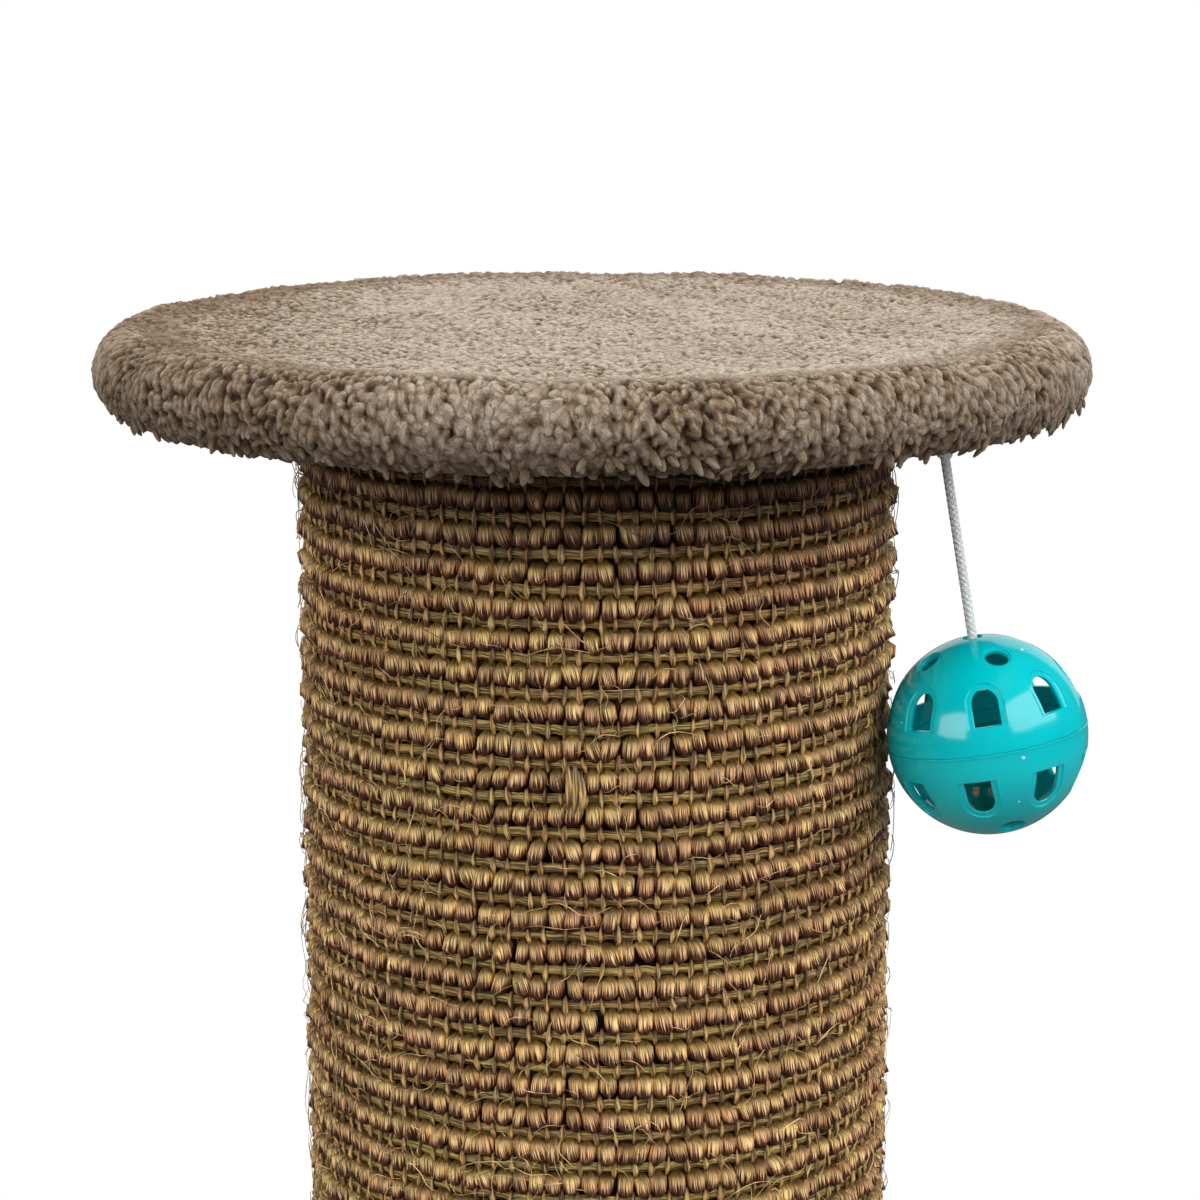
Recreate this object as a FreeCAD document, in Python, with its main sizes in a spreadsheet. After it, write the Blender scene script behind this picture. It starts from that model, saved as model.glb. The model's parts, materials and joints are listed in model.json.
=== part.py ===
import FreeCAD, Part
import math
import os
import Sketcher

# A round scratching post: a plush-covered base, a tube wrapped in woven sisal, a plush-covered
# platform, and a ball toy that hangs on a cord under the platform and rests against the post.
# Millimetres, +Z up. The origin is the middle of the base, on the floor.

doc = FreeCAD.newDocument("scratching_post")

# ---- driving sizes ----

driving = {
    # base, from the floor up
    "pad_height": 3.0,
    "pad_radius": 12.0,
    "pad_count": 4,
    "pad_margin": 2.0,               # from a pad's edge to the edge of the felt above it
    "lining_thickness": 0.6,
    "lining_access_radius": 20.0,    # hole in the felt for the tool that turns the bolt
    "base_lining_margin": 8.0,       # from the felt's edge to the board's edge
    "base_fold_thickness": 2.4,      # plush folded under the board and pressed flat
    "base_fold_width": 28.0,
    "base_board_radius": 160.0,
    "base_board_thickness": 15.0,
    "base_board_web": 7.0,           # wood left above the bolt's counterbore
    "base_plush_thickness": 6.0,
    "base_plush_side": 6.5,
    "base_rim_round": 11.6,
    "plush_under_post": 1.5,         # plush squeezed under the post's end
    # post
    "post_length": 483.0,
    "tube_outer_radius": 54.0,
    "tube_wall": 5.0,
    "carpet_thickness": 5.3,
    "carpet_seam_gap": 0.6,
    "carpet_pile_gap": 0.5,          # from the carpet to the plush around its foot
    "plug_thickness": 15.0,
    # platform
    "top_overhang": 33.2,            # from the carpet's face to the board's edge
    "top_board_thickness": 9.0,
    "top_plush_thickness": 5.0,
    "top_plush_side": 6.1,
    "top_fold_thickness": 4.0,
    "top_rim_round": 8.9,
    "rim_flat": 0.1,                 # least straight band left between a rim's two rounds
    "cut_margin": 1.0,               # how far the ball's cutters reach past its shell
    # fasteners
    "bolt_radius": 4.0,
    "bolt_hole_clearance": 0.25,
    "bolt_head_radius": 7.5,         # to the corners of the hexagon
    "bolt_head_height": 5.3,
    "bolt_end": 3.4,                 # bolt showing past its nut
    "washer_radius": 12.0,
    "washer_thickness": 1.6,
    "counterbore_clearance": 1.0,
    "stud_end": 3.0,                 # stud showing past the lower nut
    "stud_cover": 1.0,               # from the stud's top to the top of the platform's board
    "nut_flange_radius": 11.0,
    "nut_flange_thickness": 1.5,
    "nut_barrel_radius": 5.0,
    "nut_barrel_inset": 0.5,         # wood left past the end of a nut's barrel
    "staple_crown": 10.0,
    "staple_width": 1.2,
    "staple_wire": 0.6,
    "staple_depth": 0.4,             # plush fabric held between a staple and the board
    "staple_leg": 6.0,               # leg inside the board
    "top_staple_count": 14,
    "base_staple_count": 20,
    # eye under the platform
    "toy_azimuth": -16.0,            # degrees about Z from +X
    "eye_offset": 9.7,               # from the carpet's face
    "eye_to_fold": 6.0,
    "eye_ring_radius": 2.2,
    "eye_wire_radius": 0.6,
    "eye_gap": 0.2,                  # from the ring to the felt above it
    "eye_shank_radius": 0.8,
    "eye_shank_depth": 6.0,          # shank inside the board
    # cord
    "cord_radius": 1.0,
    "cord_slack": 0.2,               # from the eye's wire to the loop around it
    "knot_drop": 4.0,                # from the eye's wire to the middle of the knot
    "knot_radius": 1.9,
    "knot_gap": 0.15,                # running clearance of a knot in what turns round it
    "cord_length": 36.75,            # from the middle of the knot to the ball's pole
    "end_knot_radius": 2.6,
    # ball
    "ball_radius": 19.75,
    "ball_wall": 1.2,
    "ball_post_gap": 0.35,
    "seam_ridge": 0.15,
    "seam_height": 0.5,
    "lip_depth": 1.4,                # locating lip of the upper half, each side of the seam
    "lip_wall": 0.8,
    "lip_clearance": 0.05,
    "window_count": 8,
    "window_width": 5.15,
    "window_sill": 5.25,             # from the seam to the straight edge of a window
    "window_height": 6.7,
    "round_hole_count": 4,
    "round_hole_radius": 2.3,
    "round_hole_latitude": 59.0,
    "pole_hole_radius": 1.9,
    "upper_turn": 12.8,              # degrees of a half about the cord, a window at 0
    "lower_turn": 1.0,
    # bell
    "bell_radius": 7.0,
    "bell_wall": 0.4,
    "bell_gap": 0.3,                 # from the bell to the ball and from the pellet to the bell
    "bell_slot_width": 1.2,
    "bell_slot_height": 4.0,
    "bell_end_hole_radius": 1.3,
    "bell_loop_radius": 1.8,
    "bell_loop_wire": 0.45,
    "pellet_radius": 1.6,
}

# ---- sizes that follow from them ----

derived = {
    "base_lining_radius": "sizes.base_board_radius - sizes.base_lining_margin",
    "base_fold_radius": "sizes.base_board_radius - sizes.base_fold_width",
    "base_cover_radius": "sizes.base_board_radius + sizes.base_plush_side",
    "pad_circle_radius": "base_lining_radius - sizes.pad_margin - sizes.pad_radius",
    "base_fold_bottom": "sizes.pad_height + sizes.lining_thickness",
    "base_board_bottom": "base_fold_bottom + sizes.base_fold_thickness",
    "base_board_top": "base_board_bottom + sizes.base_board_thickness",
    "base_cover_top": "base_board_top + sizes.base_plush_thickness",
    "base_cover_height": "base_cover_top - base_fold_bottom",
    "counterbore_top": "base_board_top - sizes.base_board_web",
    "counterbore_radius": "sizes.washer_radius + sizes.counterbore_clearance",
    "bolt_hole_radius": "sizes.bolt_radius + sizes.bolt_hole_clearance",
    "post_bottom": "base_board_top + sizes.plush_under_post",
    "post_top": "post_bottom + sizes.post_length",
    "tube_bore_radius": "sizes.tube_outer_radius - sizes.tube_wall",
    "carpet_radius": "sizes.tube_outer_radius + sizes.carpet_thickness",
    "lower_plug_top": "post_bottom + sizes.plug_thickness",
    "upper_plug_bottom": "post_top - sizes.plug_thickness",
    "plug_barrel": "sizes.plug_thickness - sizes.nut_barrel_inset",
    "bolt_bottom": "counterbore_top - sizes.washer_thickness",
    "bolt_top": "lower_plug_top + sizes.nut_flange_thickness + sizes.bolt_end",
    "top_board_radius": "carpet_radius + sizes.top_overhang",
    "top_board_bottom": "post_top + sizes.lining_thickness",
    "top_board_top": "top_board_bottom + sizes.top_board_thickness",
    "top_cover_radius": "top_board_radius + sizes.top_plush_side",
    "top_cover_bottom": "top_board_bottom - sizes.top_fold_thickness",
    "top_cover_top": "top_board_top + sizes.top_plush_thickness",
    "top_cover_height": "top_cover_top - top_cover_bottom",
    "eye_radius": "carpet_radius + sizes.eye_offset",
    "top_fold_radius": "eye_radius + sizes.eye_to_fold",
    "top_barrel": "sizes.top_board_thickness - sizes.nut_flange_thickness - sizes.nut_barrel_inset",
    "stud_bottom": "upper_plug_bottom - sizes.nut_flange_thickness - sizes.stud_end",
    "stud_top": "top_board_top - sizes.stud_cover",
    "eye_ring_top": "post_top - sizes.eye_gap",
    "eye_ring_level": "eye_ring_top - sizes.eye_wire_radius - sizes.eye_ring_radius",
    "eye_wire_level": "eye_ring_level - sizes.eye_ring_radius",
    "hang_length": "sizes.knot_drop + sizes.cord_length + sizes.ball_radius",
    "ball_bore_radius": "sizes.ball_radius - sizes.ball_wall",
    "end_knot_rise": "sqrt(ball_bore_radius ^ 2 - sizes.pole_hole_radius ^ 2)"
                     " - sqrt(sizes.end_knot_radius ^ 2 - sizes.pole_hole_radius ^ 2) - sizes.knot_gap",
    "bell_drop": "ball_bore_radius - sizes.bell_radius - sizes.bell_gap",
    "bell_bore_radius": "sizes.bell_radius - sizes.bell_wall",
    "pellet_drop": "bell_bore_radius - sizes.pellet_radius - sizes.bell_gap",
}


def fillSheet(name, rows, prefix):
    # One row for each value: its name in column A, the value in column B with that name as alias.
    sheet = doc.addObject("Spreadsheet::Sheet", name)
    for row, (alias, value) in enumerate(rows.items(), start=1):
        sheet.set("A%d" % row, alias)
        sheet.set("B%d" % row, prefix + str(value))
        sheet.setAlias("B%d" % row, alias)
        doc.recompute()
    return sheet


sizes = fillSheet("sizes", driving, "")
levels = fillSheet("levels", derived, "=")


def size(alias):
    return float(sizes.get(alias))


def level(alias):
    return float(levels.get(alias))


# ---- helpers ----

pieces = []


def newPiece(label):
    # A piece of the post: one body, whose label is its file's name.
    piece = doc.addObject("PartDesign::Body", label)
    piece.Label = label
    pieces.append(piece)
    return piece


def originFeature(piece, role):
    return next(item for item in piece.Origin.OriginFeatures if item.Role == role)


def solid(piece, kind, name, sizesOf, at=("0", "0", "0"), turn=None):
    # A primitive that adds to the piece or cuts from it. Its sizes and its place are formulas.
    # turn is an axis and an angle in degrees.
    feature = piece.newObject("PartDesign::" + kind, name)
    if turn:
        axis, angle = turn
        rotation = FreeCAD.Rotation(FreeCAD.Vector(*axis), angle)
        feature.Placement = FreeCAD.Placement(FreeCAD.Vector(), rotation)
    for prop, formula in sizesOf.items():
        feature.setExpression(prop, formula)
    for coordinate, formula in zip("xyz", at):
        feature.setExpression("Placement.Base." + coordinate, formula)
    return feature


def disc(piece, name, radius, height, bottom="0"):
    return solid(piece, "AdditiveCylinder", name, {"Radius": radius, "Height": height}, ("0", "0", bottom))


def bore(piece, name, radius, height, bottom="0", x="0", y="0"):
    return solid(piece, "SubtractiveCylinder", name, {"Radius": radius, "Height": height}, (x, y, bottom))


def aroundAxis(piece, features, count):
    # The features repeated evenly round Z.
    doc.recompute()
    pattern = piece.newObject("PartDesign::PolarPattern", "around")
    pattern.Originals = features
    pattern.Axis = (originFeature(piece, "Z_Axis"), [""])
    pattern.Angle = 360
    pattern.setExpression("Occurrences", count)
    piece.Tip = pattern
    return pattern


def sketchOn(piece, role, name):
    sketch = piece.newObject("Sketcher::SketchObject", name)
    sketch.AttachmentSupport = [(originFeature(piece, role), "")]
    sketch.MapMode = "FlatFace"
    return sketch


def windowSketch(piece):
    # An arched window, seen from the side: a straight sill, two upright sides and a half circle.
    width, sill, rise = size("window_width"), size("window_sill"), size("window_height")
    half, spring = width / 2, sill + rise - width / 2
    sketch = sketchOn(piece, "XZ_Plane", "window")
    corners = [(-half, sill), (half, sill), (half, spring), (-half, spring)]
    points = [FreeCAD.Vector(x, y, 0) for x, y in corners]
    bottom = sketch.addGeometry(Part.LineSegment(points[0], points[1]), False)
    right = sketch.addGeometry(Part.LineSegment(points[1], points[2]), False)
    circle = Part.Circle(FreeCAD.Vector(0, spring, 0), FreeCAD.Vector(0, 0, 1), half)
    arch = sketch.addGeometry(Part.ArcOfCircle(circle, 0, math.pi), False)
    left = sketch.addGeometry(Part.LineSegment(points[3], points[0]), False)
    start, end, centre = 1, 2, 3
    origin, verticalAxis = -1, -2
    for rule in [("Coincident", bottom, end, right, start),
                 ("Coincident", left, end, bottom, start),
                 ("Tangent", right, end, arch, start),
                 ("Tangent", arch, end, left, start),
                 ("Vertical", right),
                 ("Vertical", left),
                 ("Symmetric", bottom, start, bottom, end, verticalAxis)]:
        sketch.addConstraint(Sketcher.Constraint(*rule))
    for name, rule, value, formula in [
            ("width", ("DistanceX", bottom, start, bottom, end), width, "sizes.window_width"),
            ("sill", ("DistanceY", origin, start, bottom, end), sill, "sizes.window_sill"),
            ("side", ("DistanceY", right, start, arch, centre), spring - sill,
             "sizes.window_height - sizes.window_width / 2")]:
        index = sketch.addConstraint(Sketcher.Constraint(*rule, value))
        sketch.renameConstraint(index, name)
        sketch.setExpression("Constraints." + name, formula)
    return sketch


# ---- base ----

def plushCover(label, radius, bottom, height, rimRound, board, fold):
    # Plush round a board: a disc with a full round rim, hollow where the board is, and open
    # underneath inside the fold. board is the board's radius, bottom and thickness.
    piece = newPiece(label)
    blank = disc(piece, "blank", radius, height, bottom)
    doc.recompute()
    rims = ["Edge%d" % number for number, edge in enumerate(blank.Shape.Edges, start=1)
            if len(edge.Vertexes) == 1]
    rim = piece.newObject("PartDesign::Fillet", "rim")
    rim.Base = (blank, rims)
    rim.setExpression("Radius", "min(%s; (%s) / 2 - sizes.rim_flat)" % (rimRound, height))
    boardRadius, boardBottom, boardThickness = board
    bore(piece, "board_room", boardRadius, boardThickness, boardBottom)
    bore(piece, "fold_edge", fold, "%s - (%s)" % (boardBottom, bottom), bottom)
    return piece


def staples(label, count, circle, boardBottom):
    # Staples round the plush fold: a crown under the fabric and two legs in the board.
    piece = newPiece(label)
    bottom = boardBottom + " - sizes.staple_depth - sizes.staple_wire"
    inner = circle + " - sizes.staple_width / 2"
    crown = solid(piece, "AdditiveBox", "crown",
                  {"Length": "sizes.staple_width", "Width": "sizes.staple_crown",
                   "Height": "sizes.staple_wire"},
                  (inner, "-sizes.staple_crown / 2", bottom))
    legs = [solid(piece, "AdditiveBox", "leg",
                  {"Length": "sizes.staple_width", "Width": "sizes.staple_wire",
                   "Height": "sizes.staple_wire + sizes.staple_depth + sizes.staple_leg"},
                  (inner, side, bottom))
            for side in ("-sizes.staple_crown / 2", "sizes.staple_crown / 2 - sizes.staple_wire")]
    aroundAxis(piece, [crown] + legs, count)


def tNut(label, flangeBottom, barrelBottom, barrelLength):
    # A nut with a threaded barrel and a round flange, pressed into wood.
    piece = newPiece(label)
    disc(piece, "flange", "sizes.nut_flange_radius", "sizes.nut_flange_thickness", flangeBottom)
    disc(piece, "barrel", "sizes.nut_barrel_radius", barrelLength, barrelBottom)
    lowest = "min(%s; %s)" % (flangeBottom, barrelBottom)
    bore(piece, "thread", "sizes.bolt_radius", "sizes.nut_flange_thickness + " + barrelLength, lowest)


pads = newPiece("base_pads")
pad = solid(pads, "AdditiveCylinder", "pad", {"Radius": "sizes.pad_radius", "Height": "sizes.pad_height"},
            ("levels.pad_circle_radius", "0", "0"))
aroundAxis(pads, [pad], "sizes.pad_count")

baseLining = newPiece("base_lining")
disc(baseLining, "felt", "levels.base_lining_radius", "sizes.lining_thickness", "sizes.pad_height")
bore(baseLining, "access", "sizes.lining_access_radius", "sizes.lining_thickness", "sizes.pad_height")

baseBoard = newPiece("base_board")
disc(baseBoard, "board", "sizes.base_board_radius", "sizes.base_board_thickness", "levels.base_board_bottom")
bore(baseBoard, "counterbore", "levels.counterbore_radius",
     "levels.counterbore_top - levels.base_board_bottom", "levels.base_board_bottom")
bore(baseBoard, "bolt_hole", "levels.bolt_hole_radius", "sizes.base_board_web", "levels.counterbore_top")

baseCover = plushCover("base_cover", "levels.base_cover_radius", "levels.base_fold_bottom",
                       "levels.base_cover_height", "sizes.base_rim_round",
                       ("sizes.base_board_radius", "levels.base_board_bottom", "sizes.base_board_thickness"),
                       "levels.base_fold_radius")
bore(baseCover, "post_seat", "levels.carpet_radius + sizes.carpet_pile_gap",
     "sizes.base_plush_thickness - sizes.plush_under_post", "levels.post_bottom")
bore(baseCover, "bolt_hole", "levels.bolt_hole_radius", "sizes.plush_under_post", "levels.base_board_top")

staples("base_staples", "sizes.base_staple_count",
        "(levels.base_fold_radius + sizes.base_board_radius) / 2", "levels.base_board_bottom")

washer = newPiece("base_washer")
disc(washer, "plate", "sizes.washer_radius", "sizes.washer_thickness", "levels.bolt_bottom")
bore(washer, "hole", "levels.bolt_hole_radius", "sizes.washer_thickness", "levels.bolt_bottom")

bolt = newPiece("base_bolt")
head = solid(bolt, "AdditivePrism", "head",
             {"Circumradius": "sizes.bolt_head_radius", "Height": "sizes.bolt_head_height"},
             ("0", "0", "levels.bolt_bottom - sizes.bolt_head_height"))
head.Polygon = 6
disc(bolt, "shank", "sizes.bolt_radius", "levels.bolt_top - levels.bolt_bottom", "levels.bolt_bottom")

# ---- post ----

tube = newPiece("core_tube")
disc(tube, "wall", "sizes.tube_outer_radius", "sizes.post_length", "levels.post_bottom")
bore(tube, "inside", "levels.tube_bore_radius", "sizes.post_length", "levels.post_bottom")

carpet = newPiece("sisal_carpet")
disc(carpet, "sleeve", "levels.carpet_radius", "sizes.post_length", "levels.post_bottom")
bore(carpet, "inside", "sizes.tube_outer_radius", "sizes.post_length", "levels.post_bottom")
solid(carpet, "SubtractiveBox", "seam",
      {"Length": "sizes.carpet_seam_gap", "Width": "levels.carpet_radius", "Height": "sizes.post_length"},
      ("-sizes.carpet_seam_gap / 2", "0", "levels.post_bottom"))

for label, bottom in (("lower_plug", "levels.post_bottom"), ("upper_plug", "levels.upper_plug_bottom")):
    plug = newPiece(label)
    disc(plug, "disc", "levels.tube_bore_radius", "sizes.plug_thickness", bottom)
    bore(plug, "nut_hole", "sizes.nut_barrel_radius", "sizes.plug_thickness", bottom)

tNut("lower_plug_nut", "levels.lower_plug_top", "levels.lower_plug_top - levels.plug_barrel",
     "levels.plug_barrel")
tNut("upper_plug_nut", "levels.upper_plug_bottom - sizes.nut_flange_thickness", "levels.upper_plug_bottom",
     "levels.plug_barrel")

# ---- platform ----

stud = newPiece("top_stud")
disc(stud, "rod", "sizes.bolt_radius", "levels.stud_top - levels.stud_bottom", "levels.stud_bottom")

eyeX = "levels.eye_radius * cos(sizes.toy_azimuth * 1 deg)"
eyeY = "levels.eye_radius * sin(sizes.toy_azimuth * 1 deg)"

topLining = newPiece("top_lining")
disc(topLining, "felt", "levels.top_fold_radius", "sizes.lining_thickness", "levels.post_top")
bore(topLining, "stud_hole", "levels.bolt_hole_radius", "sizes.lining_thickness", "levels.post_top")
bore(topLining, "eye_hole", "sizes.eye_shank_radius", "sizes.lining_thickness", "levels.post_top", eyeX, eyeY)

topBoard = newPiece("top_board")
disc(topBoard, "board", "levels.top_board_radius", "sizes.top_board_thickness", "levels.top_board_bottom")
bore(topBoard, "nut_hole", "sizes.nut_barrel_radius", "sizes.top_board_thickness", "levels.top_board_bottom")
bore(topBoard, "flange_seat", "sizes.nut_flange_radius", "sizes.nut_flange_thickness",
     "levels.top_board_top - sizes.nut_flange_thickness")
bore(topBoard, "eye_hole", "sizes.eye_shank_radius", "sizes.eye_shank_depth", "levels.top_board_bottom",
     eyeX, eyeY)

tNut("top_board_nut", "levels.top_board_top - sizes.nut_flange_thickness",
     "levels.top_board_top - sizes.nut_flange_thickness - levels.top_barrel", "levels.top_barrel")

plushCover("top_cover", "levels.top_cover_radius", "levels.top_cover_bottom", "levels.top_cover_height",
           "sizes.top_rim_round",
           ("levels.top_board_radius", "levels.top_board_bottom", "sizes.top_board_thickness"),
           "levels.top_fold_radius")

staples("top_staples", "sizes.top_staple_count",
        "(levels.top_fold_radius + levels.top_board_radius) / 2", "levels.top_board_bottom")

# ---- where the toy hangs ----

# The toy's own frame has its origin on the eye's wire, +Z up along the cord and +X away from the
# post. The ball rests against the post, so the cord leans by the angle that this takes.
outward = FreeCAD.Rotation(FreeCAD.Vector(0, 0, 1), size("toy_azimuth"))
ballReach = level("carpet_radius") + size("ball_post_gap") + size("ball_radius")
lean = math.degrees(math.asin((ballReach - level("eye_radius")) / level("hang_length")))
eyePlace = outward.multVec(FreeCAD.Vector(level("eye_radius"), 0, level("eye_wire_level")))
eyeFrame = FreeCAD.Placement(eyePlace, outward)
toyFrame = FreeCAD.Placement(eyePlace, outward * FreeCAD.Rotation(FreeCAD.Vector(0, 1, 0), -lean))


def hang(piece, drop=0.0, turn=FreeCAD.Rotation()):
    # Puts a piece that is built round its own middle at its drop below the eye's wire.
    piece.Placement = toyFrame * FreeCAD.Placement(FreeCAD.Vector(0, 0, -drop), turn)


def ring(piece, name, radius, wire, axis, at):
    # A ring of round wire. It lies flat unless it is turned a quarter about an axis.
    return solid(piece, "AdditiveTorus", name, {"Radius1": radius, "Radius2": wire}, at, (axis, 90))


eye = newPiece("screw_eye")
ring(eye, "ring", "sizes.eye_ring_radius", "sizes.eye_wire_radius", (0, 1, 0),
     ("0", "0", "sizes.eye_ring_radius"))
disc(eye, "shank", "sizes.eye_shank_radius",
     "levels.top_board_bottom + sizes.eye_shank_depth - levels.eye_ring_level - sizes.eye_ring_radius",
     "2 * sizes.eye_ring_radius")
eye.Placement = eyeFrame

# ---- cord ----

loop = newPiece("cord_loop")
ring(loop, "loop", "sizes.eye_wire_radius + sizes.cord_slack + sizes.cord_radius", "sizes.cord_radius",
     (1, 0, 0), ("0", "0", "0"))
solid(loop, "AdditiveSphere", "knot", {"Radius": "sizes.knot_radius"}, ("0", "0", "-sizes.knot_drop"))
hang(loop)

cordTop = "-sizes.knot_drop - sizes.cord_radius"
cordBottom = "levels.end_knot_rise - levels.hang_length"
cord = newPiece("toy_cord")
disc(cord, "cord", "sizes.cord_radius", "(%s) - (%s)" % (cordTop, cordBottom), cordBottom)
solid(cord, "SubtractiveSphere", "knot_room", {"Radius": "sizes.knot_radius + sizes.knot_gap"},
      ("0", "0", "-sizes.knot_drop"))
hang(cord)

endKnot = newPiece("cord_end_knot")
solid(endKnot, "AdditiveSphere", "knot", {"Radius": "sizes.end_knot_radius"})
bore(endKnot, "cord_room", "sizes.cord_radius", "sizes.end_knot_radius")
hang(endKnot, level("hang_length") - level("end_knot_rise"))

# ---- ball ----

def ballHalf(label, isUpper):
    # Half a hollow ball, open side down: arched windows all round, round holes above every other
    # gap between them, and a hole at the pole. The upper half has the lip that locates it in the
    # lower half, and the lower half has the low ridge of the seam.
    piece = newPiece(label)
    shell = solid(piece, "AdditiveSphere", "shell", {"Radius": "sizes.ball_radius"})
    shell.Angle1 = 0
    if isUpper:
        disc(piece, "lip_root", "sizes.ball_radius - sizes.ball_wall / 2", "sizes.lip_depth")
    else:
        disc(piece, "ridge", "sizes.ball_radius + sizes.seam_ridge", "sizes.seam_height")
    solid(piece, "SubtractiveSphere", "hollow", {"Radius": "levels.ball_bore_radius"})
    if isUpper:
        disc(piece, "lip", "levels.ball_bore_radius - sizes.lip_clearance", "2 * sizes.lip_depth",
             "-sizes.lip_depth")
        bore(piece, "lip_bore", "levels.ball_bore_radius - sizes.lip_clearance - sizes.lip_wall",
             "2 * sizes.lip_depth", "-sizes.lip_depth")
    bore(piece, "pole_hole", "sizes.pole_hole_radius", "sizes.ball_radius")
    doc.recompute()
    uncut = piece.Shape.Volume
    sketch = windowSketch(piece)
    window = piece.newObject("PartDesign::Pocket", "window_cut")
    window.Profile = sketch
    window.Type = "Length"
    window.setExpression("Length", "sizes.ball_radius + sizes.cut_margin")
    aroundAxis(piece, [window], "sizes.window_count")
    doc.recompute()
    withWindows = piece.Shape.Volume
    halfGap = 180 / size("window_count")
    slant = FreeCAD.Rotation(FreeCAD.Vector(0, 0, 1), halfGap) * \
        FreeCAD.Rotation(FreeCAD.Vector(0, 1, 0), 90 - size("round_hole_latitude"))
    hole = solid(piece, "SubtractiveCylinder", "round_hole",
                 {"Radius": "sizes.round_hole_radius", "Height": "sizes.ball_radius + sizes.cut_margin"},
                 turn=(slant.Axis, math.degrees(slant.Angle)))
    aroundAxis(piece, [hole], "sizes.round_hole_count")
    doc.recompute()
    print(label, "volume uncut, with windows, with round holes:",
          round(uncut, 1), round(withWindows, 1), round(piece.Shape.Volume, 1))
    return piece


upperHalf = ballHalf("ball_upper", True)
hang(upperHalf, level("hang_length"), FreeCAD.Rotation(FreeCAD.Vector(0, 0, 1), size("upper_turn")))

lowerHalf = ballHalf("ball_lower", False)
windowStep = 360 / size("window_count")
hang(lowerHalf, level("hang_length"),
     FreeCAD.Rotation(FreeCAD.Vector(0, 0, 1), size("lower_turn") + windowStep) *
     FreeCAD.Rotation(FreeCAD.Vector(1, 0, 0), 180))

# ---- bell ----

bell = newPiece("bell")
solid(bell, "AdditiveSphere", "shell", {"Radius": "sizes.bell_radius"})
ring(bell, "loop", "sizes.bell_loop_radius", "sizes.bell_loop_wire", (1, 0, 0),
     ("0", "0", "sizes.bell_radius + sizes.bell_loop_radius"))
solid(bell, "SubtractiveSphere", "hollow", {"Radius": "levels.bell_bore_radius"})
solid(bell, "SubtractiveBox", "slot",
      {"Length": "2 * sizes.bell_radius", "Width": "sizes.bell_slot_width",
       "Height": "sizes.bell_slot_height"},
      ("-sizes.bell_radius", "-sizes.bell_slot_width / 2", "-sizes.bell_radius"))
solid(bell, "SubtractiveCylinder", "slot_ends",
      {"Radius": "sizes.bell_end_hole_radius", "Height": "2 * sizes.bell_radius"},
      ("-sizes.bell_radius", "0", "sizes.bell_slot_height - sizes.bell_radius"), turn=((0, 1, 0), 90))
hang(bell, level("hang_length") + level("bell_drop"))

pellet = newPiece("bell_pellet")
solid(pellet, "AdditiveSphere", "ball", {"Radius": "sizes.pellet_radius"})
hang(pellet, level("hang_length") + level("bell_drop") + level("pellet_drop"))

# ---- check and write ----

doc.recompute()
for item in doc.Objects:
    faults = [state for state in item.State if state in ("Invalid", "Error")]
    if faults:
        raise RuntimeError("%s is %s" % (item.Label, faults))
for piece in pieces:
    shape = piece.Shape
    if shape.isNull() or not shape.isValid() or not shape.Solids:
        raise RuntimeError("%s has no sound shape" % piece.Label)

cordRun = level("hang_length") - level("end_knot_rise") - size("knot_drop") - size("cord_radius")
print("lean of the cord, degrees: %.3f" % lean)
print("cord: one straight run of %.2f mm, volume %.2f, section x length %.2f" %
      (cordRun, cord.Shape.Volume, math.pi * size("cord_radius") ** 2 * cordRun))
for label, drop in (("eye wire", 0), ("knot", size("knot_drop")), ("ball middle", level("hang_length"))):
    place = toyFrame.multVec(FreeCAD.Vector(0, 0, -drop))
    print("%s at %.4f %.4f %.4f" % (label, place.x, place.y, place.z))

os.makedirs("parts", exist_ok=True)
for piece in pieces:
    piece.Shape.exportStep("parts/%s.step" % piece.Label)
print("pieces:", len(pieces))
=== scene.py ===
import bmesh
import bpy
import json
import math
import numpy as np
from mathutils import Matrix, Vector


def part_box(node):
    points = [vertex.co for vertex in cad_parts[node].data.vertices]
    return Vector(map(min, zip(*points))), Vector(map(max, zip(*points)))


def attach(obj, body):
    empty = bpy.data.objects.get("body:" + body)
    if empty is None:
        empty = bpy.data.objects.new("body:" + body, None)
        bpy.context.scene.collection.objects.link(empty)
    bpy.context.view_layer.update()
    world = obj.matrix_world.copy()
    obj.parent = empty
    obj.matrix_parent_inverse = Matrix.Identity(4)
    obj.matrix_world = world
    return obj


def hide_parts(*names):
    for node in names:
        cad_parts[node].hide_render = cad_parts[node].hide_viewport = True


# A round scratching post: a plush platform and base, a post wrapped in woven sisal, and a hollow
# ball with a bell inside that hangs on a braided cord. The shapes are worked out in millimetres
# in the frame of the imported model, and buildMesh puts them into Blender's metres.

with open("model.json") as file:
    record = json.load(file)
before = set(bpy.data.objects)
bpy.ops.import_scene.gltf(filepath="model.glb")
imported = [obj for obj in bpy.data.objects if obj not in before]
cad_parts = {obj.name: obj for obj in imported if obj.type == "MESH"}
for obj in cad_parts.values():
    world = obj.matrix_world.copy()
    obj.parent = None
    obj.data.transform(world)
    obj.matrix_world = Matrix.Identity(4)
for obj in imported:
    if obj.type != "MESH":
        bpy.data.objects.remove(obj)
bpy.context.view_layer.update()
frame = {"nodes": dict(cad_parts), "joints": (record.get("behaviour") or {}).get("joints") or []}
joints = {joint["name"]: joint for joint in frame["joints"]}
goldenAngle = math.pi * (3 - math.sqrt(5))


def unit(vectors):
    return vectors / np.maximum(np.linalg.norm(vectors, axis=-1, keepdims=True), 1e-9)


def boxOf(node):
    low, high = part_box(node)
    return np.array(low) * 1000, np.array(high) * 1000


def jointPlace(name):
    return np.array(joints[name]["pos_m"]) * 1000


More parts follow.
